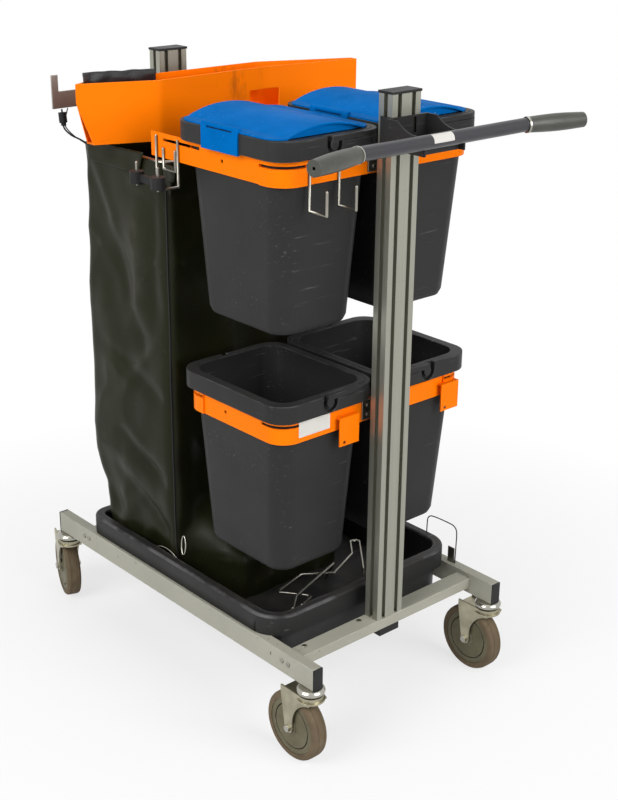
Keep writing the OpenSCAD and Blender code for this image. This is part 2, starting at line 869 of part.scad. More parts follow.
// Side of the fork: a plate that narrows from the crown to the axle eye, with an arched front edge
module fork_leg() {
    arch_r = axle_z - leg_eye_r;
    front = trail - leg_eye_r;
    difference() {
        polygon([[-leg_in, crown_bottom], [-leg_in, crown_top], [leg_eye_r, leg_top], [crown_l, leg_top],
            [crown_l, crown_bottom], [trail + leg_eye_r, axle_z], [front, axle_z]]);
        translate([front - arch_r, crown_bottom - arch_r]) circle(arch_r);
    }
    translate([trail, axle_z]) circle(leg_eye_r);
}

module caster_axle(c) {
    color(zinc) at_caster(c) translate([0, trail, axle_z]) {
        bar_x(axle_d, 2 * (leg_in + fork_t) + 2 * axle_head_h);
        for (sx = [-1, 1])
            translate([sx * (leg_in + fork_t + axle_head_h / 2), 0, 0])
                rotate([0, quarter, 0]) cylinder(h = axle_head_h, d = axle_head_d, center = true, $fn = 6);
    }
}

module caster_hub(c) {
    color(hub_grey) at_caster(c) translate([0, trail, axle_z])
        rotate([0, quarter, 0]) difference() {
            union() {
                cylinder(h = tyre_w - 2 * hub_step, d = hub_d, center = true);
                cylinder(h = hub_w, d = boss_d, center = true);
            }
            cylinder(h = hub_w + over, d = axle_d + run_fit, center = true);
            for (face = [0, 180]) rotate([face, 0, 0])
                translate([0, 0, tyre_w / 2 - hub_step - hub_groove])
                    difference() {
                        cylinder(h = hub_w, r = hub_groove_r);
                        translate([0, 0, -over])
                            cylinder(h = hub_w + 2 * over, r = hub_groove_r - hub_groove_w);
                    }
        }
}

module caster_tyre(c) {
    color(tyre_brown) at_caster(c) translate([0, trail, axle_z])
        rotate([0, quarter, 0]) rotate_extrude()
            translate([hub_d / 2, 0]) {
                translate([0, -tyre_w / 2]) square([tyre_t - tyre_r, tyre_w]);
                translate([0, tyre_r - tyre_w / 2]) square([tyre_t, tyre_w - 2 * tyre_r]);
                for (sy = [-1, 1])
                    translate([tyre_t - tyre_r, sy * (tyre_w / 2 - tyre_r)]) circle(tyre_r);
            }
}

// Handle

// Solid that follows the bar: straight middle, bends and swept ends, longer by extra at each end
module bar_run(d, extra) {
    bar_x(d, bar_straight);
    for (side = [0, 1]) mirror([side, 0, 0]) at_arm() {
        sphere(d = d + wire_knot);
        cylinder(h = bar_arm + extra, d = d);
    }
}

// Start of the swept end on the +X side, with Z along it
module at_arm() {
    translate([bar_straight / 2, 0, 0])
        rotate([0, quarter, -bar_sweep]) children();
}

module handle_bar() {
    color(charcoal) from_rail_front() translate([0, -bar_ahead, handle_z])
        difference() {
            bar_run(bar_d, 0);
            bar_run(bar_d - 2 * bar_wall, over);
        }
}

// Barrel sleeve with a closed end, over the end of the bar
module grip(side) {
    swell = grip_d / 2 - grip_end_d / 2;
    steps = 12;
    color(rubber) from_rail_front() translate([0, -bar_ahead, handle_z])
        mirror([side, 0, 0]) at_arm()
            translate([0, 0, bar_arm - grip_l]) difference() {
                rotate_extrude() polygon(concat([[0, 0]],
                    [for (i = [0 : steps])
                        [grip_end_d / 2 + swell * sin(2 * quarter * i / steps), grip_l * i / steps]],
                    [[grip_end_d / 2, grip_l + grip_end_t], [0, grip_l + grip_end_t]]));
                translate([0, 0, -over]) cylinder(h = grip_l + over, d = bar_d);
                cylinder(h = grip_l + 2 * grip_end_t, d = grip_hole_d);
            }
}

// Console: a pocket between the bar and the mast, with cheeks along the mast sides
module handle_console() {
    back = mast_front - mast_d / 2;
    front = -bar_ahead + bar_d / 2;
    h = console_top - console_bottom;
    color(charcoal) from_rail_front() difference() {
        union() {
            for (side = [-1, 1])
                translate([side * (console_w - console_wall) / 2, 0, 0])
                    rotate([quarter, 0, quarter])
                        linear_extrude(console_wall, center = true) console_side(back);
            translate([-console_w / 2, front, console_bottom])
                cube([console_w, back - front, console_wall]);
            translate([-console_w / 2, front, console_bottom])
                cube([console_w, console_wall, handle_z - console_bottom]);
            translate([-console_w / 2, back - console_back, console_bottom])
                cube([console_w, console_back, h]);
            for (side = [0, 1]) mirror([side, 0, 0])
                translate([mast_w / 2, back, console_bottom]) cube([console_wall, cheek_l, h]);
        }
        translate([0, -bar_ahead, handle_z]) bar_x(bar_d, bar_straight);
        translate([slot_pitch / 2 - console_slot_w / 2, back - console_back - over,
                console_top - console_slot_h - console_wall])
            cube([console_slot_w, console_back + 2 * over, console_slot_h]);
    }
}

module console_side(back) {
    scoop_low = handle_z + console_scoop_z;
    difference() {
        translate([-bar_ahead, console_bottom])
            square([back + bar_ahead, console_top - console_bottom]);
        translate([-bar_ahead / 3, scoop_low + console_scoop_r]) circle(console_scoop_r);
        translate([-bar_ahead - over, scoop_low])
            square([bar_ahead * 2 / 3 + over, console_top]);
    }
}

// Frames

module band(top) {
    translate([0, bin_mid, top - band_h]) linear_extrude(band_h) band_plan(0);
}

// Ring of the band, or of a pad that stands out from it by grow
module band_plan(grow) {
    difference() {
        rounded(band_w + 2 * grow, band_l + 2 * grow, band_r + grow);
        if (grow > 0)
            rounded(band_w, band_l, band_r);
        else
            rounded(band_w - 2 * band_t, band_l - 2 * band_t, band_r - band_t);
    }
}

// Pad round one corner of a band
module corner_pad(top, sx, sy) {
    translate([0, bin_mid, top - band_h]) linear_extrude(band_h) intersection() {
        band_plan(pad_t);
        translate([sx * (band_w / 2 + pad_t - pad_l / 2), sy * (band_l / 2 + pad_t - pad_l / 2)])
            square(pad_l, center = true);
    }
}

// Long slots round the four corners, and round holes in the sides
module band_cuts(top) {
    for (sx = [-1, 1], sy = [-1, 1])
        translate([sx * band_w / 2, bin_mid + sy * band_l / 2, top - corner_slot_drop])
            cube([2 * corner_slot_l, 2 * corner_slot_l, corner_slot_h], center = true);
    translate([0, side_hole_y, top - band_h / 2]) bar_x(side_hole_d, 2 * band_w);
}

module frame_upper() {
    color(orange) from_rail_front() difference() {
        union() {
            band(upper_band_top);
            corner_pad(upper_band_top, -1, -1);
            for (side = [0, 1]) mirror([side, 0, 0])
                translate([band_side - band_t, band_rear - 2 * band_r, upper_band_top - band_h])
                    cube([band_t, arm_rear - band_rear + 2 * band_r, band_h]);
        }
        band_cuts(upper_band_top);
    }
}

module frame_lower() {
    color(orange) from_rail_front() {
        difference() {
            union() {
                band(lower_band_top);
                corner_pad(lower_band_top, -1, 1);
                corner_pad(lower_band_top, 1, -1);
            }
            band_cuts(lower_band_top);
        }
        for (x = [tab_left, tab_right]) hook_tab(x);
    }
}

// Upside-down L in front of the lower band
module hook_tab(x) {
    top = lower_band_top - tab_drop;
    translate([x - tab_w / 2, band_front - tab_reach, top - band_t])
        cube([tab_w, tab_reach + band_t / 2, band_t]);
    difference() {
        translate([x - tab_w / 2, band_front - tab_reach, top - tab_h])
            cube([tab_w, band_t, tab_h]);
        translate([x - tab_w / 4, band_front - tab_reach, top - tab_h + tab_hole_d])
            bar_y(tab_hole_d, 4 * band_t);
    }
}

// One bracket from the front mast to each band: two plates on a web
module frame_brackets() {
    back = mast_front + mast_d / 2;
    color(zinc) from_rail_front()
        for (top = [upper_band_top, lower_band_top])
            translate([0, 0, top - band_h / 2]) {
                plate_between(back, back + bracket_t, bracket_w);
                plate_between(back, band_front, web_w);
                plate_between(band_front - bracket_t, band_front, flange_w);
            }
}

module plate_between(y0, y1, w) {
    translate([0, (y0 + y1) / 2, 0]) cube([w, y1 - y0, bracket_h], center = true);
}

// Bins, about their own middle

module at_bin(b) {
    from_rail_front() translate([b[1] * bin_x, bin_mid, b[2]]) children();
}

// Turns a bail and its ledge to the side that they fold to
module folded(b) {
    rotate([0, 0, b[3] > 0 ? 0 : 180]) children();
}

// Tapered inside or outside of a bin, from the rim top down to z
module bin_taper(inset, z, top) {
    w = bin_w - 2 * (skirt + inset);
    l = bin_l - 2 * (skirt + inset);
    low_w = w - 2 * bin_draft_x;
    low_l = l - 2 * bin_draft_y;
    r = body_r - inset;
    hull() {
        rounded_slab(w, l, r, top);
        rounded_slab(w, l, r, -rim_h);
        rounded_slab(low_w, low_l, r, z + bin_foot_r);
        rounded_slab(low_w - bin_foot_r, low_l - bin_foot_r, r - bin_foot_r / 2, z);
    }
}

module bin(b) {
    color(charcoal) at_bin(b) difference() {
        union() {
            translate([0, 0, -rim_h]) linear_extrude(rim_h) rounded(bin_w, bin_l, rim_r);
            bin_taper(0, -bin_h, -rim_h / 2);
        }
        bin_taper(bin_wall, bin_wall - bin_h, over);
        folded(b) bail_room();
    }
}

// Ledge round half the rim, with a round pocket and a blind bore at each pivot
module bail_room() {
    ledge_h = bail_h + bail_recess + clear;
    translate([0, 0, -ledge_h]) linear_extrude(ledge_h + over) difference() {
        translate([0, -bin_l]) square([bin_w, 2 * bin_l]);
        rounded(bin_w - 2 * ledge_w, bin_l - 2 * ledge_w, rim_r - ledge_w);
    }
    for (end = [-1, 1]) {
        translate([0, end * (bin_l / 2 + over - (ledge_w + over) / 2), -pivot_drop]) {
            bar_y(2 * pocket_r, ledge_w + over);
            translate([0, 0, pocket_r]) cube([2 * pocket_r, ledge_w + over, 2 * pocket_r], center = true);
        }
        translate([0, end * (bin_l / 2 - ledge_w - bail_pin_l / 2), -pivot_drop])
            bar_y(bail_pin_d + run_fit, bail_pin_l + 2 * clear);
    }
}

// Half ring that lies in the ledge, with an eye and a pin at each end
module bail(b) {
    out = clear;
    color(charcoal) at_bin(b) folded(b) {
        translate([0, 0, -bail_recess - bail_h]) linear_extrude(bail_h) intersection() {
            difference() {
                rounded(bin_w - 2 * out, bin_l - 2 * out, rim_r - out);
                rounded(bin_w - 2 * (out + bail_w), bin_l - 2 * (out + bail_w), rim_r - out - bail_w);
            }
            translate([-bail_heel, -bin_l]) square([bin_w, 2 * bin_l]);
        }
        for (end = [-1, 1]) {
            translate([0, end * (bin_l / 2 - out - bail_w / 2), -pivot_drop]) {
                bar_y(2 * bail_eye_r, bail_w);
                translate([bail_eye_r / 2 - bail_heel / 2, 0, (pivot_drop - bail_recess) / 2])
                    cube([bail_eye_r + bail_heel, bail_w, pivot_drop - bail_recess], center = true);
            }
            translate([0, end * (bin_l / 2 - out - bail_w - bail_pin_l / 2), -pivot_drop])
                bar_y(bail_pin_d, bail_pin_l);
        }
    }
}

// Lids, about the middle of their bin, hinged along the -X rim

module lid_section() {
    centre_z = lid_t + lid_rise - lid_arch_r;
    difference() {
        union() {
            translate([lid_hinge_x, 0]) square([lid_w, lid_t]);
            arch_segment(lid_arch_r, centre_z, 0);
        }
        arch_segment(lid_arch_r - lid_t, centre_z, -over);
    }
}

// Part of a circle under the arch, above the height low
module arch_segment(r, centre_z, low) {
    intersection() {
        translate([lid_mid_x, centre_z]) circle(r, $fn = arch_fn);
        translate([lid_mid_x - lid_arch_half, low]) square([2 * lid_arch_half, lid_rise + 2 * lid_t]);
    }
}

module lid(b) {
    wall_y = lid_l / 2 - lid_recess;
    color(blue) at_bin(b) difference() {
        union() {
            translate([0, 0, lid_gap]) intersection() {
                rotate([quarter, 0, 0]) linear_extrude(lid_l, center = true) lid_section();
                translate([lid_mid_x, 0, -over])
                    linear_extrude(lid_rise + 3 * lid_t) rounded(lid_w, lid_l, lid_r);
            }
            for (end = [-1, 1])
                translate([0, end * wall_y, lid_gap]) rotate([quarter, 0, 0])
                    linear_extrude(lid_t, center = true)
                        arch_segment(lid_arch_r - lid_t / 2, lid_t + lid_rise - lid_arch_r, 0);
            translate([lid_hinge_x, clip_shift, hinge_up]) bar_y(2 * knuckle_r, lid_knuckle_l);
        }
        // Bore of the middle knuckle and room for the clip's own knuckles
        translate([lid_hinge_x, clip_shift, hinge_up]) bar_y(hinge_pin_d + run_fit, clip_l);
        for (end = [-1, 1])
            translate([lid_hinge_x, clip_shift + end * (clip_l - clip_knuckle_l) / 2, hinge_up])
                cube([2 * knuckle_r + 4 * clear, clip_knuckle_l + 2 * clear, 4 * knuckle_r], center = true);
        // Thumb dimple by the free edge
        translate([dimple_x, clip_shift / 2, lid_gap + lid_t - dimple_t])
            linear_extrude(lid_t) rounded(dimple_w, dimple_l, dimple_w / 2 - slab);
    }
}

// Hinge clip over the outer face of the rim, with its pin
module lid_clip(b) {
    plate_x = -bin_w / 2 - clip_t;
    web_x = lid_hinge_x - plate_x;
    color(blue) at_bin(b) translate([0, clip_shift, 0]) {
        translate([plate_x, -clip_l / 2, -rim_h - clip_t])
            cube([clip_t, clip_l, rim_h + clip_t]);
        translate([plate_x, -clip_l / 2, -rim_h - clip_t])
            cube([2 * clip_t, clip_l, clip_t]);
        for (end = [-1, 1])
            translate([0, end * (clip_l - clip_knuckle_l) / 2, 0]) {
                translate([plate_x, -clip_knuckle_l / 2, 0])
                    cube([clip_t, clip_knuckle_l, hinge_up]);
                translate([plate_x, -clip_knuckle_l / 2, lid_gap])
                    cube([web_x, clip_knuckle_l, hinge_up - lid_gap]);
                translate([lid_hinge_x, 0, hinge_up]) bar_y(2 * knuckle_r, clip_knuckle_l);
            }
        translate([lid_hinge_x, 0, hinge_up]) bar_y(hinge_pin_d, clip_l - clip_knuckle_l);
    }
}

// Hooks

module front_hooks() {
    top = upper_band_top - hook_start;
    low = upper_band_top - hook_low;
    tip_y = front_hook_y - front_hook_reach;
    color(zinc) from_rail_front()
        for (x = [front_hook_x1, front_hook_x2])
            let (y = front_hook_y - (x < pad_l - band_side ? pad_t : 0))
                wire([[x, y, top], [x, y, low], [x, tip_y, low], [x, tip_y, low + hook_tip]], hook_d);
}

module side_hooks() {
    top = upper_band_top - hook_start;
    low = upper_band_top - hook_low;
    tip_x = side_hook_x - side_hook_reach;
    color(zinc) from_rail_front()
        for (y = [side_hook_y1, side_hook_y2])
            wire([[side_hook_x, y, top], [side_hook_x, y, low], [tip_x, y, low],
                [tip_x, y, low + hook_tip]], hook_d);
}

// Two rubber sleeves on the tips of the side hooks, joined by a strip
module tool_clip() {
    low = upper_band_top - hook_low + hook_d / 2 + wire_knot;
    tip_x = side_hook_x - side_hook_reach;
    color(rubber) from_rail_front() translate([tip_x, 0, low])
        difference() {
            union() {
                for (y = [side_hook_y1, side_hook_y2])
                    translate([0, y, 0]) cylinder(h = sleeve_l, d = sleeve_d);
                translate([-strip_t / 2, side_hook_y1, (sleeve_l - strip_h) / 2])
                    cube([strip_t, side_hook_y2 - side_hook_y1, strip_h]);
            }
            for (y = [side_hook_y1, side_hook_y2])
                translate([0, y, -over]) cylinder(h = sleeve_l + 2 * over, d = hook_d);
        }
}

// Wire loops under the frame arms, for the front corners of the bag
module bag_loops() {
    low = upper_band_top - band_h - loop_drop;
    high = upper_band_top - band_h + loop_hold;
    color(zinc) from_rail_front()
        for (side = [-1, 1])
            wire([for (p = [[loop_front, high], [loop_front, low], [loop_front + loop_w, low],
                    [loop_front + loop_w, high]])
                [side * (band_side + hook_d / 2), p[0], p[1]]], hook_d);
}

// Trough and carrier

module tool_trough() {
    loop = concat(trough_front_points, trough_back_points);
    color(orange) from_rail_front() difference() {
        translate([0, 0, trough_bottom]) linear_extrude(trough_h) polygon(inset(loop, -trough_t / 2));
        translate([0, 0, trough_bottom + trough_t]) linear_extrude(trough_h)
            polygon(inset(loop, trough_t / 2));
        translate([window_x, trough_front - window_w / 2, trough_bottom + window_up])
            cube([window_w, window_w, window_h]);
        translate([trough_left, trough_back, trough_bottom]) rotate([quarter, 0, 0])
            linear_extrude(2 * trough_depth, center = true) trough_corner();
    }
}

// Corner cut off under the left end of the trough, from its tip
module trough_corner() {
    rise = (trough_h - trough_end_h) / trough_end_cut;
    polygon([[-trough_end_l, rise * (trough_end_cut + trough_end_l)], [trough_end_cut, 0],
        [trough_end_cut, -over], [-trough_end_l, -over]]);
}

// Plate on the rear mast, with an upright finger and two arms that carry the trough
module bag_carrier() {
    reach = carrier_front - trough_back - trough_t / 2;
    color(zinc) from_rail_front() {
        translate([-carrier_w / 2, carrier_front, carrier_z]) {
            cube([carrier_w, carrier_t, carrier_h]);
            cube([finger_w, carrier_t, carrier_h + finger_h]);
        }
        for (side = [-1, 1])
            translate([side * carrier_arm_x - carrier_t / 2, carrier_front - reach, carrier_z])
                cube([carrier_t, reach, carrier_h]);
    }
}

// Bag, its hoop and its cord

module bag_hoop() {
    l = hoop_rear - hoop_front;
    color(zinc) from_rail_front() {
        translate([0, bag_mid, hoop_z]) {
            for (side = [-1, 1]) {
                translate([side * hoop_w / 2, 0, 0]) bar_y(hoop_d, l - 2 * hoop_r);
                translate([0, side * l / 2, 0]) bar_x(hoop_d, hoop_w - 2 * hoop_r);
            }
            for (turn = [0 : quarter : 270])
                let (flip = turn % 180 == 0)
                    rotate([0, 0, turn])
                        translate([(flip ? hoop_w : l) / 2 - hoop_r, (flip ? l : hoop_w) / 2 - hoop_r, 0])
                            rotate_extrude(angle = quarter) translate([hoop_r, 0]) circle(d = hoop_d);
        }
        for (side = [-1, 1])
            rod([side * carrier_arm_x, hoop_rear, hoop_z], [side * carrier_arm_x, hoop_rear, carrier_z],
                hanger_d);
    }
}

// Outside or inside of the bag: the standing sack and its slumped foot
module bag_form(inset, low, top) {
    foot_l = bag_rear - bag_foot_front;
    bag_foot_w = bag_w - 2 * bag_foot_in;
    hull() {
        translate([0, bag_mid, 0]) {
            rounded_slab(bag_w - 2 * inset, bag_l - 2 * inset, bag_r - inset, top);
            rounded_slab(bag_w - 2 * inset, bag_l - 2 * inset, bag_r - inset, tray_rim_top + over);
            rounded_slab(bag_foot_w - 2 * inset, bag_l - 2 * inset, bag_r - inset, low);
        }
    }
    hull() {
        translate([0, bag_rear - foot_l / 2, 0]) {
            rounded_slab(bag_foot_w - 2 * inset, foot_l - 2 * inset, bag_r - inset, low);
            rounded_slab(bag_foot_w - 2 * inset - bag_r, foot_l - 2 * inset - bag_r, bag_r - inset,
                bag_bottom + bag_foot_h - inset);
        }
    }
}

module bag() {
    color(bag_cloth) from_rail_front() difference() {
        bag_form(0, bag_bottom, bag_top - slab);
        bag_form(bag_wall, bag_bottom + bag_wall, bag_top + over);
    }
}

module bag_cord() {
    color(rubber) from_rail_front() wire(cord_points, cord_d);
}

// Barrel and button of the lock, along the first stretch of the cord
module cord_lock() {
    p = cord_points[0];
    v = cord_points[1] - p;
    color(rubber) from_rail_front()
        translate(p + v * lock_place) facing(v)
            difference() {
                union() {
                    cylinder(h = lock_l, d = lock_d, center = true);
                    translate([0, 0, lock_l / 2]) cylinder(h = button_l, d = button_d);
                }
                cylinder(h = 2 * lock_l, d = cord_d + 2 * wire_knot, center = true);
            }
}

// Small parts

module wire_rack() {
    color(zinc) from_rail_front() {
        faceted_wire(rack_low_points, rack_wire_d);
        faceted_wire(rack_high_points, rack_wire_d);
    }
}

// Round head seated at y, standing out toward -Y
module head_y(x, y, z, d, h) {
    translate([x, y - h / 2, z]) bar_y(d, h);
}

module screws() {
    back = mast_front - mast_d / 2;
    bracket_back = mast_front + mast_d / 2 + bracket_t;
    color(zinc) from_rail_front() {
        for (x = [cross_screw_x1, cross_screw_x2])
            translate([x, mast_front + cross_screw_y, cross_top]) cylinder(h = rivet_h, d = rivet_d);
        for (side = [-1, 1]) {
            x = side * slot_pitch / 2;
            head_y(x, back - console_back, console_bottom + console_wall + bolt_d / 2 + over,
                bolt_d, bolt_h);
            head_y(x, carrier_front, carrier_mid_z, bolt_d, bolt_h);
            for (top = [upper_band_top, lower_band_top], up = [-1, 1]) {
                z = top - band_h / 2 + up * bracket_h / 4;
                head_y(side * (web_w + bolt_d + over) / 2, bracket_back + bolt_h, z, bolt_d, bolt_h);
                head_y(side * (web_w + flange_w) / 4, band_front - bracket_t, z, rivet_d, rivet_h);
            }
            for (y = [mast_front, mast_rear], along = [-1, 1])
                translate([side * (base_w + rivet_h) / 2, y + along * cross_d / 4, cross_top - cross_h / 2])
                    bar_x(rivet_d, rivet_h);
        }
    }
}

// Nodes

rail(-1);  // rail_left
rail(1);  // rail_right
rail_caps();
crossbar(mast_front);  // crossbar_front
crossbar(mast_rear);  // crossbar_rear
base_tray();
mast(mast_front);
mast(mast_rear);
mast_end_pieces();
for (c = CASTERS) {
    caster_head(c);
    caster_fork(c);
    caster_axle(c);
    caster_hub(c);
    caster_tyre(c);
}
handle_bar();
grip(1);  // grip_left
grip(0);  // grip_right
handle_console();
frame_upper();
frame_lower();
frame_brackets();
for (b = BINS) {
    bin(b);
    bail(b);
}
lid(BINS[0]);  // lid_left
lid(BINS[1]);  // lid_right
lid_clip(BINS[0]);  // lid_clip_left
lid_clip(BINS[1]);  // lid_clip_right
front_hooks();
side_hooks();
tool_clip();
bag_loops();
tool_trough();
bag_carrier();
bag_hoop();
bag();
bag_cord();
cord_lock();
wire_rack();
screws();
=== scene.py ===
import json
import math

import bmesh
import bpy
from bpy.props import FloatProperty, FloatVectorProperty, PointerProperty
from mathutils import Matrix, Vector, noise


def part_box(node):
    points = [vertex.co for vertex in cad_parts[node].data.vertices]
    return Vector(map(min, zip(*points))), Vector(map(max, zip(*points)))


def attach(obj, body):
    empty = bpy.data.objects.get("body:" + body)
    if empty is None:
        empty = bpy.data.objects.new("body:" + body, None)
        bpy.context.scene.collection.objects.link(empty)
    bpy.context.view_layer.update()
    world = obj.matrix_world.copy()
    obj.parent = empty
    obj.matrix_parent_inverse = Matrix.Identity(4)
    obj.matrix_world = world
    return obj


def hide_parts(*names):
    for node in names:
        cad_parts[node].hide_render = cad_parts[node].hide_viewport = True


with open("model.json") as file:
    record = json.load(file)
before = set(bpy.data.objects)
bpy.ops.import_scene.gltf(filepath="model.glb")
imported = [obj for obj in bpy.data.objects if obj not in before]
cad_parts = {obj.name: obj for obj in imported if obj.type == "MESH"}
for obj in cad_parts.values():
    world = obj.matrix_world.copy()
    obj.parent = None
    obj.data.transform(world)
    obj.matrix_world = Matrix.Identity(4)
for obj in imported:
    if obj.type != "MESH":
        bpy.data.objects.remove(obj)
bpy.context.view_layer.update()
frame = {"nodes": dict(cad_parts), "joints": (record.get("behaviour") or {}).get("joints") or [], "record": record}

bl_info = {
    "name": "Janitor Cart",
    "version": (1, 0, 0),
    "blender": (4, 5, 0),
    "location": "View3D > Sidebar > Cart",
    "description": "Dresses the packed janitor cart with finishes, soft pieces and a plain stage",
    "category": "Object",
}

BODY_OF = {n: b for b, nodes in frame["record"]["behaviour"]["bodies"].items() for n in nodes}
SLOT_OF = {s["node"]: s["material_slot"] for s in frame["record"]["subparts"]}
JOINTS = {j["name"]: j for j in frame["joints"]}
CORNERS = ("front_left", "front_right", "rear_left", "rear_right")
BINS = ("upper_left", "upper_right", "lower_left", "lower_right")
FINISHES = {}

# Front ends of the side rails, from which places along the cart are counted
RAIL_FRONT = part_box("rail_caps")[0].y

# Runs and corners below are in millimetres across, behind the rail fronts and above the floor

# Both strands of the draw cord, from the carrier to the bag's hem, and their thickness in metres
CORD_ROUTE = ((-240, 650.5, 1010.4), (-240, 648.2, 995), (-240, 646, 979), (-232, 638, 967), (-220, 629, 959),
              (-212, 608, 951), (-206.5, 591, 947))
CORD_RETURN = ((-228, 650.5, 1010.6), (-232, 649.0, 1002), (-236, 648.2, 991), (-236, 647, 980),
               (-226, 642, 966), (-214, 634, 955), (-207, 618, 947))
CORD_THICK, RETURN_THICK = 0.003, 0.002
# Handle bar: straight middle, place and height in millimetres, sweep, and metres from the bend to the grip
BAR_STRAIGHT = 348.0
BAR_BEHIND, BAR_HEIGHT = -26, 1033
BAR_SWEEP = math.radians(14.0)
BAR_TO_GRIP = 0.010
# Half section of a grip's ferrule: radius and place along the bar, in metres
FERRULE = ((0.0112, -0.0035), (0.0126, -0.0035), (0.0131, -0.0028), (0.0131, 0.0), (0.0112, 0.0),
           (0.0112, -0.0035))
# Wire at the bag's foot, wire loop and plate on the right rail, and webbing of the right strap
FOOT_WIRE = ((-199, 492, 149), (-199, 486, 207), (-199, 466, 226), (-199, 440, 232), (-199, 416, 227),
             (-199, 402, 213), (-199, 399, 149))
RAIL_LOOP = ((217, 104, 193), (217, 103, 230), (217, 103, 257), (217, 110, 267), (217, 124, 269),
             (217, 160, 268), (217, 174, 263), (217, 178, 247), (217, 178, 193))
RAIL_PLATE, RAIL_PLATE_SIZE = (217, 114, 208), (0.002, 0.016, 0.030)
STRAP = ((189, 421, 893), (194, 412, 915), (202, 399, 937), (209, 388, 951), (212, 381, 954),
         (213, 376, 950), (210, 378, 939), (203, 392, 925))
# Blank sticker on the lower frame: middle in millimetres, and size in metres
FRAME_STICKER, FRAME_STICKER_SIZE = (-137.5, 104.9, 568), (0.067, 0.028, 1.0)
STICKER_THICK, STICKER_CORNER = 0.0002, 0.0018
# Corners of the cuff (behind, up) and of the trough's liner (across, up), from the upper ones round
CUFF = ((632, 957), (462, 961), (474, 924), (612, 926))
LINER = ((-262, 1086), (-112, 1079), (-112, 1047), (-262, 1051))
CLOTH_THICK, WEBBING_THICK, HALF_WEBBING = 0.0012, 0.0014, 0.011
# Radii of the bag's piping, ring and foot wire and of the rail's loop
PIPING_R, RING_R, FOOT_WIRE_R, RAIL_LOOP_R = 0.0016, 0.0013, 0.0012, 0.0011
# Rounding of the grips, of the tool clip and of other small pieces
GRIP_EDGE, CLIP_EDGE, SMALL_EDGE = 0.0018, 0.0012, 0.0008
# Soft lamps: name, place, aim and power in watts
LAMPS = (("lamp_left", (-3.0, -0.2, 2.3), (0.0, 0.0, 0.5), 98.0),
         ("lamp_front", (0.5, -3.4, 2.2), (0.0, 0.0, 0.5), 106.0),
         ("lamp_above", (0.4, 0.4, 3.2), (0.0, 0.0, 0.7), 22.0))
# Camera: place, and turn to the right, tilt down and roll in degrees
CAMERA_AT = (-1526.4, -1439.5, 1439.1)
CAMERA_TURNS = (41.704, 21.725, 0.552)
WHITE = (1, 1, 1, 1)


def metres(name, description, default):
    return FloatProperty(name=name, description=description, default=default, unit="LENGTH")


def rgb(name, description, default):
    return FloatVectorProperty(name=name, description=description, default=default, subtype="COLOR")


class CartSizes(bpy.types.PropertyGroup):
    """Sizes of the dressing"""
    plastic_edge: metres("Plastic edge", "Rounding along the edges of moulded pieces", 0.0014)
    tray_edge: metres("Tray edge", "Rounding along the rim of the tray", 0.0045)
    metal_edge: metres("Metal edge", "Rounding along the edges of sheet and tube", 0.0006)
    rail_edge: metres("Rail edge", "Rounding along the rail tubes", 0.0015)
    fork_edge: metres("Fork edge", "Rounding along the caster forks", 0.0009)
    wheel_edge: metres("Wheel edge", "Rounding of the hubs and axle bolts", 0.0007)
    tyre_wide: metres("Tyre width", "Width of a tyre", 0.028)
    tyre_deep: metres("Tyre depth", "Radial thickness of a tyre", 0.012)
    bag_cloth: metres("Bag cloth", "Thickness of the bag's coated cloth", 0.0012)
    bag_fold: metres("Bag folds", "Depth of the soft folds all over the bag", 0.007)
    lamp_size: metres("Lamp size", "Edge of the soft lamps", 2.2)
    camera_lens: FloatProperty(name="Lens", description="Focal length of the camera", default=62.9)


class CartColours(bpy.types.PropertyGroup):
    """Colours of the dressing"""
    charcoal: rgb("Charcoal", "Moulded bins, tray and console", (0.02, 0.02, 0.0196))
    orange: rgb("Orange", "Painted frames and trough", (1, 0.196, 0.0005))
    blue: rgb("Blue", "Lids and their clips", (0.0006, 0.134, 0.45))
    aluminium: rgb("Aluminium", "Anodised masts", (0.32, 0.32, 0.27))
    rail: rgb("Rail", "Painted rails and crossbars", (0.355, 0.35, 0.29))
    zinc: rgb("Zinc", "Zinc plated steel", (0.3, 0.288, 0.25))
    tyre: rgb("Tyre", "Worn tyre rubber", (0.14, 0.104, 0.064))
    hub: rgb("Hub", "Moulded wheel hubs", (0.128, 0.115, 0.068))
    bag: rgb("Bag", "Coated bag cloth", (0.0125, 0.0135, 0.005))
    bar: rgb("Bar", "Painted handle bar", (0.028, 0.028, 0.033))
    grip: rgb("Grip", "Rubber grips", (0.046, 0.048, 0.038))
    black: rgb("Black", "Caps, cords and sleeves", (0.01, 0.01, 0.01))
    paper: rgb("Paper", "Blank stickers", (0.66, 0.64, 0.6))


# Shader nodes

def add(tree, kind, inputs=(), **settings):
    """A node with its settings, and its inputs set or linked."""
    made = tree.nodes.new(kind)
    for key, value in settings.items():
        setattr(made, key, value)
    for key, value in dict(inputs).items():
        if isinstance(value, bpy.types.NodeSocket):
            tree.links.new(value, made.inputs[key])
        else:
            made.inputs[key].default_value = value
    return made


def joined(tree, operation, a, b):
    """Two values joined by an operation and kept from 0 to 1."""
    return add(tree, "ShaderNodeMath", {0: a, 1: b}, operation=operation, use_clamp=True).outputs[0]


def product(tree, value, *others):
    for other in others:
        value = joined(tree, "MULTIPLY", value, other)
    return value


def vectors(tree, operation, *inputs):
    return add(tree, "ShaderNodeVectorMath", dict(enumerate(inputs)), operation=operation).outputs


def remap(tree, value, low, high, to_low=0.0, to_high=1.0):
    return add(tree, "ShaderNodeMapRange", {"Value": value, "From Min": low, "From Max": high,
                                            "To Min": to_low, "To Max": to_high}).outputs[0]


def tint(tree, factor, a, b):
    """Colour between a and b."""
    a, b = (c if isinstance(c, bpy.types.NodeSocket) else (*c, 1.0) for c in (a, b))
    return add(tree, "ShaderNodeMix", {0: factor, 6: a, 7: b}, data_type="RGBA").outputs[2]


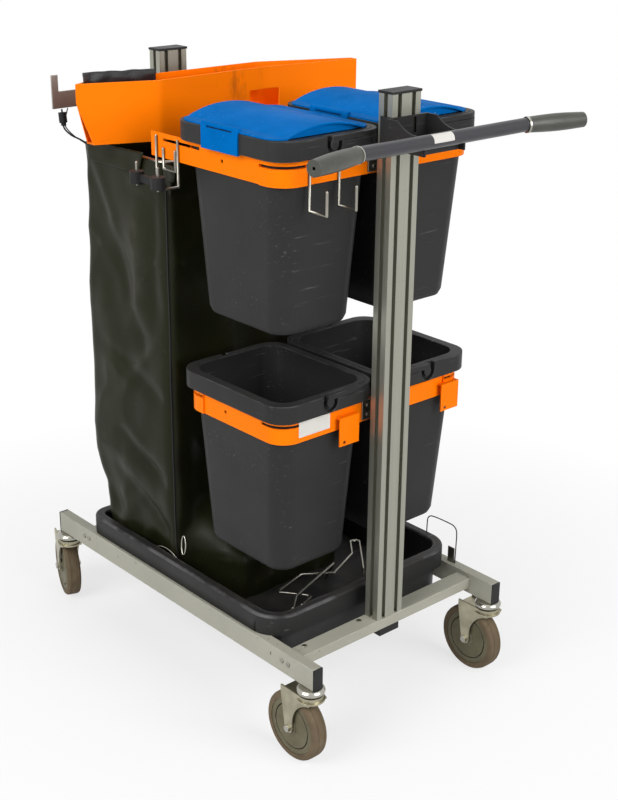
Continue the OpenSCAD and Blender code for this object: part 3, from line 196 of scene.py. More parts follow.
def on_piece(tree):
    """Places on the piece, in its Object coordinates."""
    return add(tree, "ShaderNodeTexCoord").outputs["Object"]


def cloud(tree, place, scale, detail, roughness=0.5):
    return add(tree, "ShaderNodeTexNoise", {"Vector": place, "Scale": scale, "Detail": detail,
                                            "Roughness": roughness}).outputs[0]


def new_group(name, inputs, output):
    tree = bpy.data.node_groups.new(name, "ShaderNodeTree")
    for label, kind, value in inputs:
        tree.interface.new_socket(name=label, in_out="INPUT", socket_type=kind).default_value = value
    tree.interface.new_socket(name=output, in_out="OUTPUT", socket_type="NodeSocketFloat")
    return tree, tree.nodes.new("NodeGroupInput").outputs, tree.nodes.new("NodeGroupOutput").inputs[0]


def make_groups():
    """Effects that several finishes share, each a mask or a height from 0 to 1."""
    scale = ("Scale", "NodeSocketFloat", 8.0)
    amount = ("Amount", "NodeSocketFloat", 0.5)

    tree, given, out = new_group("Mottle", [scale, ("Stretch", "NodeSocketVector", (1, 1, 1))], "Value")
    place = vectors(tree, "MULTIPLY", on_piece(tree), given["Stretch"])[0]
    tree.links.new(remap(tree, cloud(tree, place, given["Scale"], 6.0, 0.62), 0.3, 0.7), out)

    tree, given, out = new_group("Scratches", [scale, amount], "Mask")
    place = on_piece(tree)
    lines = []
    for turn in ((0.4, 0.7, 0.2), (1.1, 0.2, 1.9)):
        drawn = add(tree, "ShaderNodeMapping",
                    {"Vector": place, "Rotation": turn, "Scale": (1.0, 22.0, 22.0)})
        lines.append(remap(tree, cloud(tree, drawn.outputs[0], given["Scale"], 3.0), 0.66, 0.74))
    patch = remap(tree, cloud(tree, place, 11.0, 3.0), 0.45, 0.68)
    tree.links.new(product(tree, joined(tree, "MAXIMUM", *lines), patch, given["Amount"]), out)

    # Lighter colour on the rounded edges: edge wear, and on the orange paint also a painted highlight along the
    # edges
    tree, given, out = new_group("Edge wear and highlight", [scale, amount], "Mask")
    edge = add(tree, "ShaderNodeAttribute", attribute_name="edge").outputs["Fac"]
    rub = remap(tree, cloud(tree, on_piece(tree), given["Scale"], 5.0), 0.42, 0.62)
    tree.links.new(product(tree, edge, rub, given["Amount"]), out)

    tree, given, out = new_group("Grain", [scale], "Height")
    tree.links.new(cloud(tree, on_piece(tree), given["Scale"], 2.0), out)

    tree, given, out = new_group("Dust", [scale, amount], "Mask")
    normal = add(tree, "ShaderNodeNewGeometry").outputs["Normal"]
    up = add(tree, "ShaderNodeSeparateXYZ", {0: normal}).outputs["Z"]
    specks = remap(tree, cloud(tree, on_piece(tree), given["Scale"], 8.0, 0.7), 0.42, 0.75)
    tree.links.new(product(tree, remap(tree, up, 0.35, 0.95), specks, given["Amount"]), out)

    tree, given, out = new_group("Chips", [scale, amount], "Mask")
    place = on_piece(tree)
    patch = remap(tree, cloud(tree, place, 6.5, 2.0), 0.44, 0.66, 0.05, 0.0)
    spots = joined(tree, "SUBTRACT", cloud(tree, place, given["Scale"], 4.0, 0.55), patch)
    tree.links.new(product(tree, remap(tree, spots, 0.675, 0.70), given["Amount"]), out)


def effect(tree, name, **inputs):
    made = tree.nodes.new("ShaderNodeGroup")
    made.node_tree = bpy.data.node_groups[name]
    for key, value in inputs.items():
        made.inputs[key].default_value = value
    return made.outputs[0]


def shades(colour, vary):
    return [tuple(min(1.0, c * k) for c in colour) for k in (1 - vary, 1 + vary)]


def finish(name, colour, rough, metallic=0.0, specular=0.3, vary=0.12, scale=9.0, stretch=(1, 1, 1),
           scratch=None, edge=None, dust=None, chips=None, grain=(700.0, 0.1), rough_vary=0.07):
    """A material of one base colour with the shared effects; each effect is (scale, amount, colour)."""
    material = bpy.data.materials.new(name)
    material.use_nodes = True
    tree = material.node_tree
    shader = tree.nodes["Principled BSDF"]
    shader.inputs["Metallic"].default_value = metallic
    shader.inputs["Specular IOR Level"].default_value = specular
    tone = effect(tree, "Mottle", Scale=scale, Stretch=stretch)
    base = tint(tree, tone, *shades(colour, vary))
    for group, look in (("Scratches", scratch), ("Chips", chips), ("Dust", dust), ("Edge wear and highlight", edge)):
        if look:
            base = tint(tree, effect(tree, group, Scale=look[0], Amount=look[1]), base, look[2])
    tree.links.new(base, shader.inputs["Base Color"])
    dull = remap(tree, tone, 0.0, 1.0, rough + rough_vary, rough - rough_vary)
    tree.links.new(dull, shader.inputs["Roughness"])
    height = effect(tree, "Grain", Scale=grain[0])
    bump = add(tree, "ShaderNodeBump", {"Strength": grain[1], "Distance": 0.0004, "Height": height})
    tree.links.new(bump.outputs[0], shader.inputs["Normal"])
    FINISHES[name] = material
    return material


def make_finishes(colours):
    pale = (0.2, 0.2, 0.19)
    finish("charcoal_moulded", colours.charcoal, 0.5, specular=0.16, vary=0.1, scale=7,
           scratch=(9, 0.5, pale), edge=(24, 0.32, (0.13, 0.13, 0.135)), dust=(13, 0.1, (0.15, 0.145, 0.13)),
           grain=(900, 0.16))
    finish("tray_moulded", colours.charcoal, 0.47, specular=0.17, vary=0.16, scale=6,
           scratch=(9, 0.8, pale), edge=(20, 0.45, (0.17, 0.17, 0.175)),
           dust=(16, 0.26, (0.12, 0.105, 0.085)), grain=(900, 0.2))
    finish("black_moulded", colours.black, 0.5, specular=0.25, vary=0.2, scale=20,
           edge=(40, 0.3, (0.07, 0.07, 0.07)), grain=(900, 0.15))
    # The orange's lighter, yellower edges are partly a painted highlight along the rounded edges and partly wear
    smear(finish("orange_paint", colours.orange, 0.38, specular=0.06, vary=0.04, scale=5,
                 scratch=(12, 0.22, (0.55, 0.1, 0.004)), edge=(30, 0.22, (0.96, 0.38, 0.08)),
                 grain=(500, 0.05)))
    finish("blue_moulded", colours.blue, 0.46, specular=0.006, scale=10,
           scratch=(16, 0.35, (0.16, 0.32, 0.62)), dust=(26, 0.1, (0.06, 0.25, 0.58)),
           chips=(150, 0.55, (0.2, 0.38, 0.7)), edge=(30, 0.45, (0.05, 0.25, 0.68)), grain=(800, 0.14))
    finish("mast_anodised", colours.aluminium, 0.4, metallic=0.85, vary=0.07, scale=14,
           stretch=(22, 22, 0.12), scratch=(14, 0.3, (0.18, 0.18, 0.16)),
           dust=(20, 0.3, (0.2, 0.19, 0.15)), grain=(600, 0.03))
    finish("rail_paint", colours.rail, 0.44, specular=0.26, vary=0.07, scale=6,
           scratch=(12, 0.5, (0.2, 0.18, 0.14)), chips=(120, 0.9, (0.045, 0.04, 0.035)),
           dust=(22, 0.18, (0.32, 0.29, 0.22)), edge=(34, 0.25, (0.58, 0.58, 0.53)), grain=(420, 0.05))
    finish("zinc_plate", colours.zinc, 0.32, metallic=1, vary=0.18, scale=34,
           scratch=(20, 0.35, (0.18, 0.165, 0.13)), dust=(40, 0.25, (0.22, 0.2, 0.15)), grain=(700, 0.04))
    finish("zinc_fork", (0.36, 0.335, 0.245), 0.36, metallic=0.92, vary=0.28, scale=26,
           scratch=(20, 0.5, (0.12, 0.105, 0.075)), dust=(50, 0.4, (0.15, 0.13, 0.09)),
           edge=(60, 0.5, (0.55, 0.53, 0.45)), grain=(700, 0.06))
    finish("bright_ring", (0.38, 0.37, 0.325), 0.22, metallic=1, vary=0.16, scale=30,
           scratch=(24, 0.35, (0.22, 0.2, 0.15)), grain=(500, 0.02))
    finish("carrier_steel", (0.31, 0.28, 0.255), 0.46, metallic=0.6, vary=0.2, scale=12,
           scratch=(14, 0.4, (0.1, 0.09, 0.085)), grain=(600, 0.05))
    finish("tyre_rubber", colours.tyre, 0.74, specular=0.16, vary=0.2, scale=30,
           scratch=(30, 0.45, (0.19, 0.165, 0.135)), dust=(60, 0.25, (0.18, 0.155, 0.12)), grain=(420, 0.3))
    finish("hub_moulded", colours.hub, 0.54, specular=0.22, vary=0.16, scale=36,
           scratch=(30, 0.5, (0.09, 0.082, 0.065)), edge=(60, 0.4, (0.27, 0.27, 0.24)), grain=(700, 0.12))
    finish("bar_paint", colours.bar, 0.34, specular=0.4, scale=14,
           scratch=(16, 0.4, (0.16, 0.16, 0.175)), grain=(500, 0.08))
    finish("grip_rubber", colours.grip, 0.42, specular=0.42, vary=0.24, scale=22, stretch=(0.5, 1.4, 1.4),
           scratch=(22, 0.6, (0.13, 0.13, 0.105)), edge=(50, 0.4, (0.1, 0.1, 0.085)), grain=(260, 0.35))
    finish("rubber_sleeve", colours.black, 0.6, specular=0.22, vary=0.25, scale=40, grain=(400, 0.3))
    finish("cord_braid", colours.black, 0.7, specular=0.2, vary=0.3, scale=300, stretch=(1, 1, 0.3),
           grain=(900, 0.6))
    finish("strap_webbing", colours.bag, 0.62, specular=0.25, vary=0.2, scale=60, stretch=(1, 3, 1),
           grain=(1200, 0.6))
    finish("blank_paper", colours.paper, 0.45, vary=0.04, scale=30, grain=(300, 0.05))
    finish("liner_film", (0.009, 0.009, 0.01), 0.3, specular=0.4, vary=0.3, scale=30, grain=(90, 0.6))
    bag_finish(colours.bag)


def smear(material):
    """Dark rub marks on the front of the trough, above its window."""
    tree = material.node_tree
    paint = tree.nodes["Principled BSDF"].inputs["Base Color"]
    base = paint.links[0].from_socket
    near = vectors(tree, "SUBTRACT", on_piece(tree), (0.035, RAIL_FRONT + 0.5, 1.047))[0]
    near = vectors(tree, "MULTIPLY", near, (16, 6, 22))[0]
    near = remap(tree, vectors(tree, "LENGTH", near)["Value"], 1, 0.2)
    rub = effect(tree, "Mottle", Scale=26, Stretch=(1, 1, 0.25))
    mask = product(tree, near, remap(tree, rub, 0.55, 0.95), 0.75)
    tree.links.new(tint(tree, mask, base, (0.12, 0.035, 0.008)), paint)


def bag_finish(colour):
    """Coated cloth: olive tone, crease ridges lightened both as wear and as a painted highlight, a fine weave and
    small wrinkles.
    """
    material = finish("bag_cloth", colour, 0.36, specular=0.12, vary=0.24, scale=5, stretch=(1, 1, 0.5),
                      scratch=(8, 0.35, (0.06, 0.06, 0.048)), grain=(160, 0.25), rough_vary=0.06)
    tree = material.node_tree
    shader = tree.nodes["Principled BSDF"]
    base = shader.inputs["Base Color"].links[0].from_socket
    # Painted highlight: the crease ridges are lightened to stand in for the sheen along the folds, as well as for
    # wear
    ridge = add(tree, "ShaderNodeAttribute", attribute_name="ridge").outputs["Fac"]
    rub = effect(tree, "Mottle", Scale=30, Stretch=(1, 1, 1))
    mask = product(tree, ridge, remap(tree, rub, 0.2, 0.9, 0.2, 0.8))
    tree.links.new(tint(tree, mask, base, (0.058, 0.058, 0.042)), shader.inputs["Base Color"])
    weave_at = add(tree, "ShaderNodeUVMap", uv_map="cloth").outputs[0]
    threads = [add(tree, "ShaderNodeTexWave", {"Vector": weave_at, "Scale": 250, "Distortion": 1.0},
                   bands_direction=way).outputs["Fac"] for way in ("X", "Y")]
    weave = product(tree, *threads)
    bump = add(tree, "ShaderNodeBump", {"Strength": 0.12, "Distance": 0.0003, "Height": weave})
    tree.links.new(shader.inputs["Normal"].links[0].from_socket, bump.inputs["Normal"])
    tree.links.new(bump.outputs[0], shader.inputs["Normal"])


# Mesh work

def at(x, behind, z):
    """A point from millimetres across, behind the rail fronts and above the floor."""
    return Vector((x / 1000, RAIL_FRONT + behind / 1000, z / 1000))


def linked(name, data):
    """A new object of the data, in the scene."""
    made = bpy.data.objects.new(name, data)
    bpy.context.scene.collection.objects.link(made)
    return made


def mesh_object(name, bm):
    mesh = bpy.data.meshes.new(name)
    bm.to_mesh(mesh)
    bm.free()
    return linked(name, mesh)


def piece(name, bm, look, like, nodes=(), sharp=38, weighted=True):
    """An object of the mesh, with body like a CAD node's, shown in place of the nodes."""
    body, slot = BODY_OF[like], SLOT_OF[like]
    made = mesh_object(name, bm)
    mesh = made.data
    mesh.materials.append(FINISHES[look])
    mesh.shade_smooth()
    mesh.set_sharp_from_angle(angle=math.radians(sharp))
    if weighted:
        made.modifiers.new("Even shading", "WEIGHTED_NORMAL").keep_sharp = True
    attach(made, body)
    if nodes:
        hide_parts(*nodes)
    return made


def stand_in(node, bm, look, sharp=38):
    """The piece that is shown for a CAD node."""
    return piece(node + "_dressed", bm, look, node, [node], sharp)


def merged(node):
    """A copy of a CAD node's mesh with its corners joined and its flat faces whole."""
    bm = bmesh.new()
    bm.from_mesh(frame["nodes"][node].data)
    bmesh.ops.remove_doubles(bm, verts=bm.verts, dist=5e-6)
    bmesh.ops.dissolve_limit(bm, angle_limit=math.radians(0.5), verts=bm.verts, edges=bm.edges)
    return bm


def round_edges(bm, width, segments=2, angle=30, chosen=None):
    """Bevels the sharp edges and marks the new faces for edge wear and painted edge highlights."""
    mark = bm.loops.layers.float.get("edge") or bm.loops.layers.float.new("edge")
    edges = [e for e in bm.edges if len(e.link_faces) == 2 and e.calc_face_angle(0.0) > math.radians(angle)]
    if chosen:
        edges = [e for e in edges if chosen(e)]
    made = bmesh.ops.bevel(bm, geom=edges, offset=width, offset_type="OFFSET", segments=segments, profile=0.5,
                           affect="EDGES", clamp_overlap=True, material=-1)
    for face in made["faces"]:
        for loop in face.loops:
            loop[mark] = 1.0


def dress(node, look, width, segments=2, angle=30, sharp=38):
    """Stands a copy, rounded by the width, in for a CAD node."""
    bm = merged(node)
    if width > 0:
        round_edges(bm, width, segments, angle)
    return stand_in(node, bm, look, sharp)


def turned(profile, place, axis, steps=64):
    """A body turned about an axis from (radius, height) points."""
    bm = bmesh.new()
    verts = [bm.verts.new((r, 0.0, h)) for r, h in profile]
    edges = [bm.edges.new(pair) for pair in zip(verts, verts[1:])]
    bmesh.ops.spin(bm, geom=verts + edges, cent=(0, 0, 0), axis=(0, 0, 1), angle=2 * math.pi, steps=steps,
                   use_merge=True)
    bmesh.ops.remove_doubles(bm, verts=bm.verts, dist=1e-6)
    bmesh.ops.recalc_face_normals(bm, faces=bm.faces)
    turn = Vector((0, 0, 1)).rotation_difference(Vector(axis)).to_matrix().to_4x4()
    bmesh.ops.transform(bm, matrix=Matrix.Translation(place) @ turn, verts=bm.verts)
    return bm


def tube(points, radius):
    """A round run through points, as a bmesh."""
    curve = bpy.data.curves.new("run", "CURVE")
    curve.dimensions = "3D"
    curve.bevel_depth = radius
    curve.bevel_resolution = 3
    curve.use_fill_caps = True
    spline = curve.splines.new("POLY")
    spline.points.add(len(points) - 1)
    for spot, point in zip(spline.points, points):
        spot.co = (*point, 1.0)
    holder = bpy.data.objects.new("run", curve)
    mesh = bpy.data.meshes.new_from_object(holder)
    bm = bmesh.new()
    bm.from_mesh(mesh)
    bmesh.ops.remove_doubles(bm, verts=bm.verts, dist=1e-6)
    bpy.data.objects.remove(holder)
    bpy.data.curves.remove(curve)
    bpy.data.meshes.remove(mesh)
    return bm


def wire(name, points, radius, look, like, nodes=()):
    """A round wire, cord or piping."""
    return piece(name, tube(points, radius), look, like, nodes, sharp=60, weighted=False)


def thicken(made, thickness, offset=0.0):
    wall = made.modifiers.new("Thickness", "SOLIDIFY")
    wall.thickness = thickness
    wall.offset = offset


def cloth_grid(steps, width, length):
    """A grid from -1 to 1 whose cloth map holds its flat size."""
    bm = bmesh.new()
    bmesh.ops.create_grid(bm, x_segments=steps[0], y_segments=steps[1], size=1.0)
    cloth = bm.loops.layers.uv.new("cloth")
    for face in bm.faces:
        for loop in face.loops:
            loop[cloth].uv = ((loop.vert.co.x + 1) / 2 * width, (loop.vert.co.y + 1) / 2 * length)
    return bm


def smooth_path(points, steps=6):
    """A rounded run through a few points, which are in millimetres."""
    points = [at(*p) for p in points]
    ends = [points[0]] + points + [points[-1]]
    out = []
    for a, b, c, d in zip(ends, ends[1:], ends[2:], ends[3:]):
        for i in range(steps):
            t = i / steps
            out.append(0.5 * ((2 * b) + (c - a) * t + (2 * a - 5 * b + 4 * c - d) * t * t
                              + (3 * b - a - 3 * c + d) * t ** 3))
    return out + [points[-1]]


def share(value, start, end):
    """How far a value has come from start to end, from 0 to 1."""
    return min(1.0, max(0.0, (value - start) / (end - start)))


def eased(t):
    return t * t * (3 - 2 * t)


# Bag

# Folds as strokes between two points, with their height and width in millimetres
BAG_STROKES = (
    ((-198, 640, 947), (-198, 560, 825), -9, 16), ((-198, 622, 950), (-198, 538, 800), 8, 16),
    ((-198, 486, 885), (-198, 500, 635), 8, 42), ((-198, 440, 895), (-198, 452, 645), -6, 26),
    ((-198, 550, 795), (-198, 470, 585), -6, 20), ((-198, 600, 725), (-198, 560, 505), 6, 30),
    ((-198, 598, 600), (-198, 431, 525), -8, 18), ((-198, 627, 435), (-198, 441, 635), 7, 18),
    ((-198, 610, 495), (-198, 470, 405), 6, 20), ((-198, 560, 455), (-198, 430, 355), -8, 18),
    ((-190, 488, 345), (-190, 600, 215), 11, 16), ((-190, 567, 355), (-190, 430, 261), -10, 16),
    ((-188, 430, 315), (-188, 520, 225), 8, 16), ((-188, 640, 325), (-188, 560, 240), -7, 16),
    ((-120, 412, 905), (-60, 412, 585), 7, 36), ((60, 412, 925), (110, 412, 545), -7, 30),
    ((0, 412, 725), (60, 412, 445), 6, 36), ((-150, 412, 445), (20, 400, 295), -8, 22),
    ((-40, 412, 405), (150, 400, 285), 8, 24), ((198, 600, 925), (198, 500, 725), -8, 18),
    ((198, 450, 875), (198, 470, 585), 7, 40), ((198, 590, 645), (198, 440, 525), -8, 20),
    ((198, 440, 465), (198, 600, 325), 8, 20), ((198, 470, 285), (198, 600, 215), 9, 18),
    ((-120, 628, 885), (-80, 628, 545), -7, 34), ((90, 628, 905), (40, 628, 475), 7, 38),
    ((-140, 628, 445), (60, 628, 305), 8, 22), ((140, 628, 425), (-20, 628, 255), -8, 22),
    ((-170, 345, 240), (-60, 340, 215), 9, 14), ((-60, 350, 250), (70, 338, 205), -9, 14),
    ((40, 352, 253), (160, 345, 210), 8, 14), ((-176, 402, 275), (176, 402, 275), -9, 16),
    ((-178, 380, 225), (-150, 330, 175), 7, 12),
)


class BagForm:
    """Shape of the standing bag, from its CAD solid's box; lengths in metres"""
    # Upright front wall, in millimetres behind the rail fronts, and rounding of the upright corners
    FRONT, CORNER = 412, 0.018
    # Drawn in per side at the foot, share by which the rear is wider, bellies of the rear and of each wall
    NARROW, WIDER, REAR_BELLY, BELLY = 0.012, 0.07, 0.012, 0.004
    # Heights over the floor of the bag between which it slumps forward, narrows, swells and creases more
    SLUMPED, NARROWED, SWOLLEN, CREASED = (0.185, 0.07), (0.1, 0.04), (0.085, 0.245), (0.3, 0.05)
    # Depth below the rim over which the folds grow, and depth and drop of the hem
    HANG, HEM, HEM_DROP = 0.12, 0.05, 0.004
    # Deepest dent, and highest fold on the walls and at the rear and foot
    DENT, FOLD_OUT, FOLD_OUT_TIGHT = 0.016, 0.009, 0.004
    # Drops and insets of the rolled hem, and insets of the rings across the bottom
    ROLLED = ((0.045, 0.006), (0.03, 0.006), (0.012, 0.005), (0.002, 0.003))
    BOTTOM = (0.02, 0.06, 0.09, 0.104)

    def __init__(self, fold):
        low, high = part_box("bag")
        self.fold = fold
        self.half = high.x
        self.rear = high.y
        self.foot_front = low.y
        self.front = at(0, self.FRONT, 0).y
        self.low = low.z
        self.high = high.z
        self.strokes = [(at(*a), at(*b), depth / 1000, width / 1000) for a, b, depth, width in BAG_STROKES]
        side, end = 2 * (self.half - self.CORNER), self.rear - self.front - 2 * self.CORNER
        self.runs = [side, math.pi * self.CORNER / 2, end, math.pi * self.CORNER / 2] * 2
        self.girth = sum(self.runs)

    def outline(self, u, half, front, rear):
        """Point and outward direction at a share u of the way round, from the rear right corner."""
        c = self.CORNER
        u = (u % 1.0) * self.girth
        for k, run in enumerate(self.runs):
            if u <= run or k == 7:
                t = min(1.0, u / run)
                break
            u -= run
        corners = ((half, rear), (-half, rear), (-half, front), (half, front))
        a, b, after = (Vector(corners[(k // 2 + i) % 4]) for i in range(3))
        along = (b - a).normalized()
        out = Vector((along.y, -along.x))
        if k % 2 == 0:
            return (a + along * c).lerp(b - along * c, t), out
        centre = b - along * c + (after - b).normalized() * c
        way = out * math.cos(t * math.pi / 2) + along * math.sin(t * math.pi / 2)
        return centre + way * c, way

    def point(self, u, z, inset):
        """A point on the cloth, with its folds, and how much of a ridge it lies on."""
        above = z - self.low
        slump = eased(share(above, *self.SLUMPED))
        narrow = self.NARROW * share(above, *self.NARROWED)
        swell = eased(share(above, *self.SWOLLEN))
        rear = self.rear + self.REAR_BELLY * swell
        flat, way = self.outline(u, self.half - narrow - inset, self.front + inset, rear - inset)
        flat.x *= 1 + self.WIDER * swell * max(0.0, (flat.y - self.front) / (rear - self.front))
        if flat.y < self.front + self.CORNER + inset + 0.001:
            middle = eased(share(abs(flat.x), self.half - 0.012, self.half - 0.087))
            flat.y += (self.foot_front - self.front + 0.004) * slump * middle
        spot = Vector((flat.x, flat.y, z))
        hang = share(z, self.high, self.high - self.HANG)
        move, ridge = self.soft_folds(spot, hang)
        move, ridge = self.stroke_folds(spot, hang, move, ridge)
        limit = self.FOLD_OUT_TIGHT if way.y > 0.7 or above < 0.09 else self.FOLD_OUT
        out = Vector((way.x, way.y, 0.0))
        return spot + out * max(-self.DENT, min(limit, move)), min(1.0, ridge)

    def soft_folds(self, spot, hang):
        """Soft waves, small creases and slanting crumples, as a move outwards and a ridge."""
        behind, z = spot.y - RAIL_FRONT, spot.z
        low_down = share(z - self.low, *self.CREASED)
        wave = noise.noise(Vector((spot.x * 9, behind * 9 - 3.176, z * 3.2)))
        crease = noise.noise(Vector((spot.x * 26 + 7, behind * 26 - 9.176, z * 17)))
        move = self.fold * (wave * 1.1 + crease * (0.22 + 0.75 * low_down)) * hang
        move += self.BELLY * math.sin(math.pi * share(z, self.high, self.low))
        down = 0.8 * z - 0.6 * (behind + spot.x)
        cross = 0.6 * z + 0.8 * (behind + spot.x)
        crumple = 0.22 - abs(noise.noise(Vector((cross * 9.5, down * 3.4, 1.7))))
        crumple += 0.22 - abs(noise.noise(Vector((cross * 3.1 + 5, down * 8.5, 6.2))))
        move += self.fold * (0.6 + 0.8 * low_down) * crumple * hang
        return move, max(0.0, crumple - 0.30) * 5 * hang

    def stroke_folds(self, spot, hang, move, ridge):
        """Adds the folds of the list."""
        for a, b, depth, width in self.strokes:
            line = b - a
            t = max(0.0, min(1.0, (spot - a).dot(line) / line.length_squared))
            near = (spot - a - line * t).length / width
            if near < 2.6:
                fade = min(1.0, 4.5 * t * (1 - t) + 0.25)
                lift = depth * (0.5 * math.exp(-near * near) + 0.5 * math.exp(-2.0 * near)) * fade
                move += lift * (0.35 + 0.65 * hang)
                ridge += max(0.0, lift) * 70 * math.exp(-3 * near * near)
        return move, ridge


def make_bag(sizes):
    """A lofted sack: rolled hem, hanging walls, slumped foot and closed bottom."""
    form = BagForm(sizes.bag_fold)
    around, tall = 280, 150
    height = form.high - form.low
    levels = [(form.high - drop, inset) for drop, inset in form.ROLLED]
    levels += [(form.high - height * i / tall, 0.0) for i in range(tall + 1)]
    levels += [(form.low, inset) for inset in form.BOTTOM]
    bm = cloth_grid((around, len(levels) - 1), form.girth, height)
    ridge = bm.verts.layers.float.new("ridge")
    for vert in bm.verts:
        u = (vert.co.x + 1) / 2
        z, inset = levels[round((1 - vert.co.y) / 2 * (len(levels) - 1))]
        vert.co, vert[ridge] = form.point(0.0 if u > 0.99999 else u, z, inset)
        hem = max(0.0, 1 - (form.high - z) / form.HEM)
        ripple = noise.noise(Vector((vert.co.x * 14, vert.co.y * 14, 0.5)))
        vert.co.z -= hem * form.HEM_DROP * (1 + ripple)
    bmesh.ops.remove_doubles(bm, verts=bm.verts, dist=1e-5)
    rim = [e for e in bm.edges if e.is_boundary and e.verts[0].co.z < form.low + 0.02]
    bmesh.ops.edgeloop_fill(bm, edges=rim)
    bmesh.ops.recalc_face_normals(bm, faces=bm.faces)
    if sum(f.normal.dot(Vector((f.calc_center_median().x, 0, 0))) for f in bm.faces) < 0:
        bmesh.ops.reverse_faces(bm, faces=bm.faces)
    made = piece("bag_shell", bm, "bag_cloth", "bag", ["bag"], sharp=75, weighted=False)
    thicken(made, sizes.bag_cloth, -1.0)
    corner_left = (sum(form.runs[:3]) + form.runs[3] * 0.5) / form.girth
    seam = []
    for i in range(5, 143):
        spot, _ = form.point(corner_left, form.high - height * i / tall, 0.0)
        seam.append(spot + Vector((-0.0006, -0.0006, 0.0)))
    wire("bag_piping", seam, PIPING_R, "black_moulded", "bag_cord")


# Operators

class CART_OT_finishes(bpy.types.Operator):
    """Builds the finishes and gives the masts and the bag hoop theirs"""
    bl_idname = "cart.finishes"
    bl_label = "Finishes"

    def execute(self, context):
        make_groups()
        make_finishes(context.scene.cart_colours)
        for node, look in (("mast_front", "mast_anodised"), ("mast_rear", "mast_anodised"),
                           ("bag_hoop", "zinc_plate")):
            materials = frame["nodes"][node].data.materials
            materials.clear()
            materials.append(FINISHES[look])
        return {"FINISHED"}


class CART_OT_base(bpy.types.Operator):
    """Rounds the rails, crossbars, tray and mast ends"""
    bl_idname = "cart.base"
    bl_label = "Base and masts"

    def execute(self, context):
        sizes = context.scene.cart_sizes
        for node in ("rail_left", "rail_right", "crossbar_front", "crossbar_rear"):
            dress(node, "rail_paint", sizes.rail_edge, 3)
        dress("rail_caps", "black_moulded", sizes.rail_edge)
        dress("mast_end_pieces", "black_moulded", sizes.metal_edge)
        bm = merged("base_tray")
        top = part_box("base_tray")[1].z
        round_edges(bm, sizes.tray_edge, 4, 30, lambda e: all(abs(v.co.z - top) < 1e-4 for v in e.verts))
        stand_in("base_tray", bm, "tray_moulded")
        return {"FINISHED"}


class CART_OT_casters(bpy.types.Operator):
    """Turns the caster rings and tyres, and rounds the forks, axles and hubs"""
    bl_idname = "cart.casters"
    bl_label = "Casters"

    def execute(self, context):
        sizes = context.scene.cart_sizes
        for corner in CORNERS:
            swivel, roll = JOINTS[corner + "_swivel"], JOINTS[corner + "_roll"]
            low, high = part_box("caster_head_" + corner)
            place = Vector((swivel["pos_m"][0], swivel["pos_m"][1], 0.0))
            head = turned(self.head((high.x - low.x) / 2, high.z, low.z), place, (0, 0, 1))
            stand_in("caster_head_" + corner, head, "bright_ring", 50)
            dress("caster_fork_" + corner, "zinc_fork", sizes.fork_edge)
            dress("caster_axle_" + corner, "bright_ring", sizes.wheel_edge)
            dress("caster_hub_" + corner, "hub_moulded", sizes.wheel_edge)
            low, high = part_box("caster_tyre_" + corner)
            tread = self.tread((high.z - low.z) / 2, sizes.tyre_wide / 2, sizes.tyre_deep)
            tyre = turned(tread, Vector(roll["pos_m"]), roll["axis"], 96)
            stand_in("caster_tyre_" + corner, tyre, "tyre_rubber", 50)
        return {"FINISHED"}

    @staticmethod
    def head(r, top, low):
        """Half profile of a swivel head: bulged ring of radius r, king pin and its head."""
        ring, pin, pin_head = 0.014, 0.006, 0.0085
        bulge = ((0.005, 0.0), (0.003, 0.0015), (0.0005, 0.004), (0.0, 0.0065), (0.0006, 0.0092),
                 (0.003, 0.0118), (0.006, ring - 0.0005), (0.008, ring))
        foot = ((pin, 0.003), (pin_head, 0.0025), (pin_head, 0.0005), (pin, 0.0), (0.0, 0.0))
        return [(0.0, top), *((r - a, top - h) for a, h in bulge), (pin, top - ring),
                *((a, low + h) for a, h in foot)]

    @staticmethod
    def tread(r, w, deep):
        """Half profile of a tyre of radius r and half width w: rounded shoulders and two fine grooves."""
        steps = ((deep, 0.0), (0.0055, 0.0), (0.0028, 0.0008), (0.0009, 0.0028), (0.0002, 0.0052),
                 (0.0001, 0.0074), (0.0008, 0.0078), (0.0008, 0.0082), (0.0, 0.0086))
        half = [(r - a, w - h) for a, h in steps]
        return [(a, -h) for a, h in half] + [(a, h) for a, h in reversed(half)] + [(r - deep, -w)]


class CART_OT_handle(bpy.types.Operator):
    """Dresses the handle bar, its grips and the console"""
    bl_idname = "cart.handle"
    bl_label = "Handle"

    def execute(self, context):
        dress("handle_bar", "bar_paint", 0.0, sharp=60)
        for side in ("left", "right"):
            dress("grip_" + side, "grip_rubber", GRIP_EDGE, 3, 40, sharp=60)
        dress("handle_console", "charcoal_moulded", context.scene.cart_sizes.plastic_edge * 0.7)
        return {"FINISHED"}


class CART_OT_bins(bpy.types.Operator):
    """Rounds the bins, their bails, lids and hinge clips"""
    bl_idname = "cart.bins"
    bl_label = "Bins and lids"

    def execute(self, context):
        sizes = context.scene.cart_sizes
        for name in BINS:
            for kind in ("bin_", "bail_"):
                dress(kind + name, "charcoal_moulded", sizes.plastic_edge, 2, 40)
        for side in ("left", "right"):
            for kind in ("lid_", "lid_clip_"):
                dress(kind + side, "blue_moulded", sizes.metal_edge)
        return {"FINISHED"}


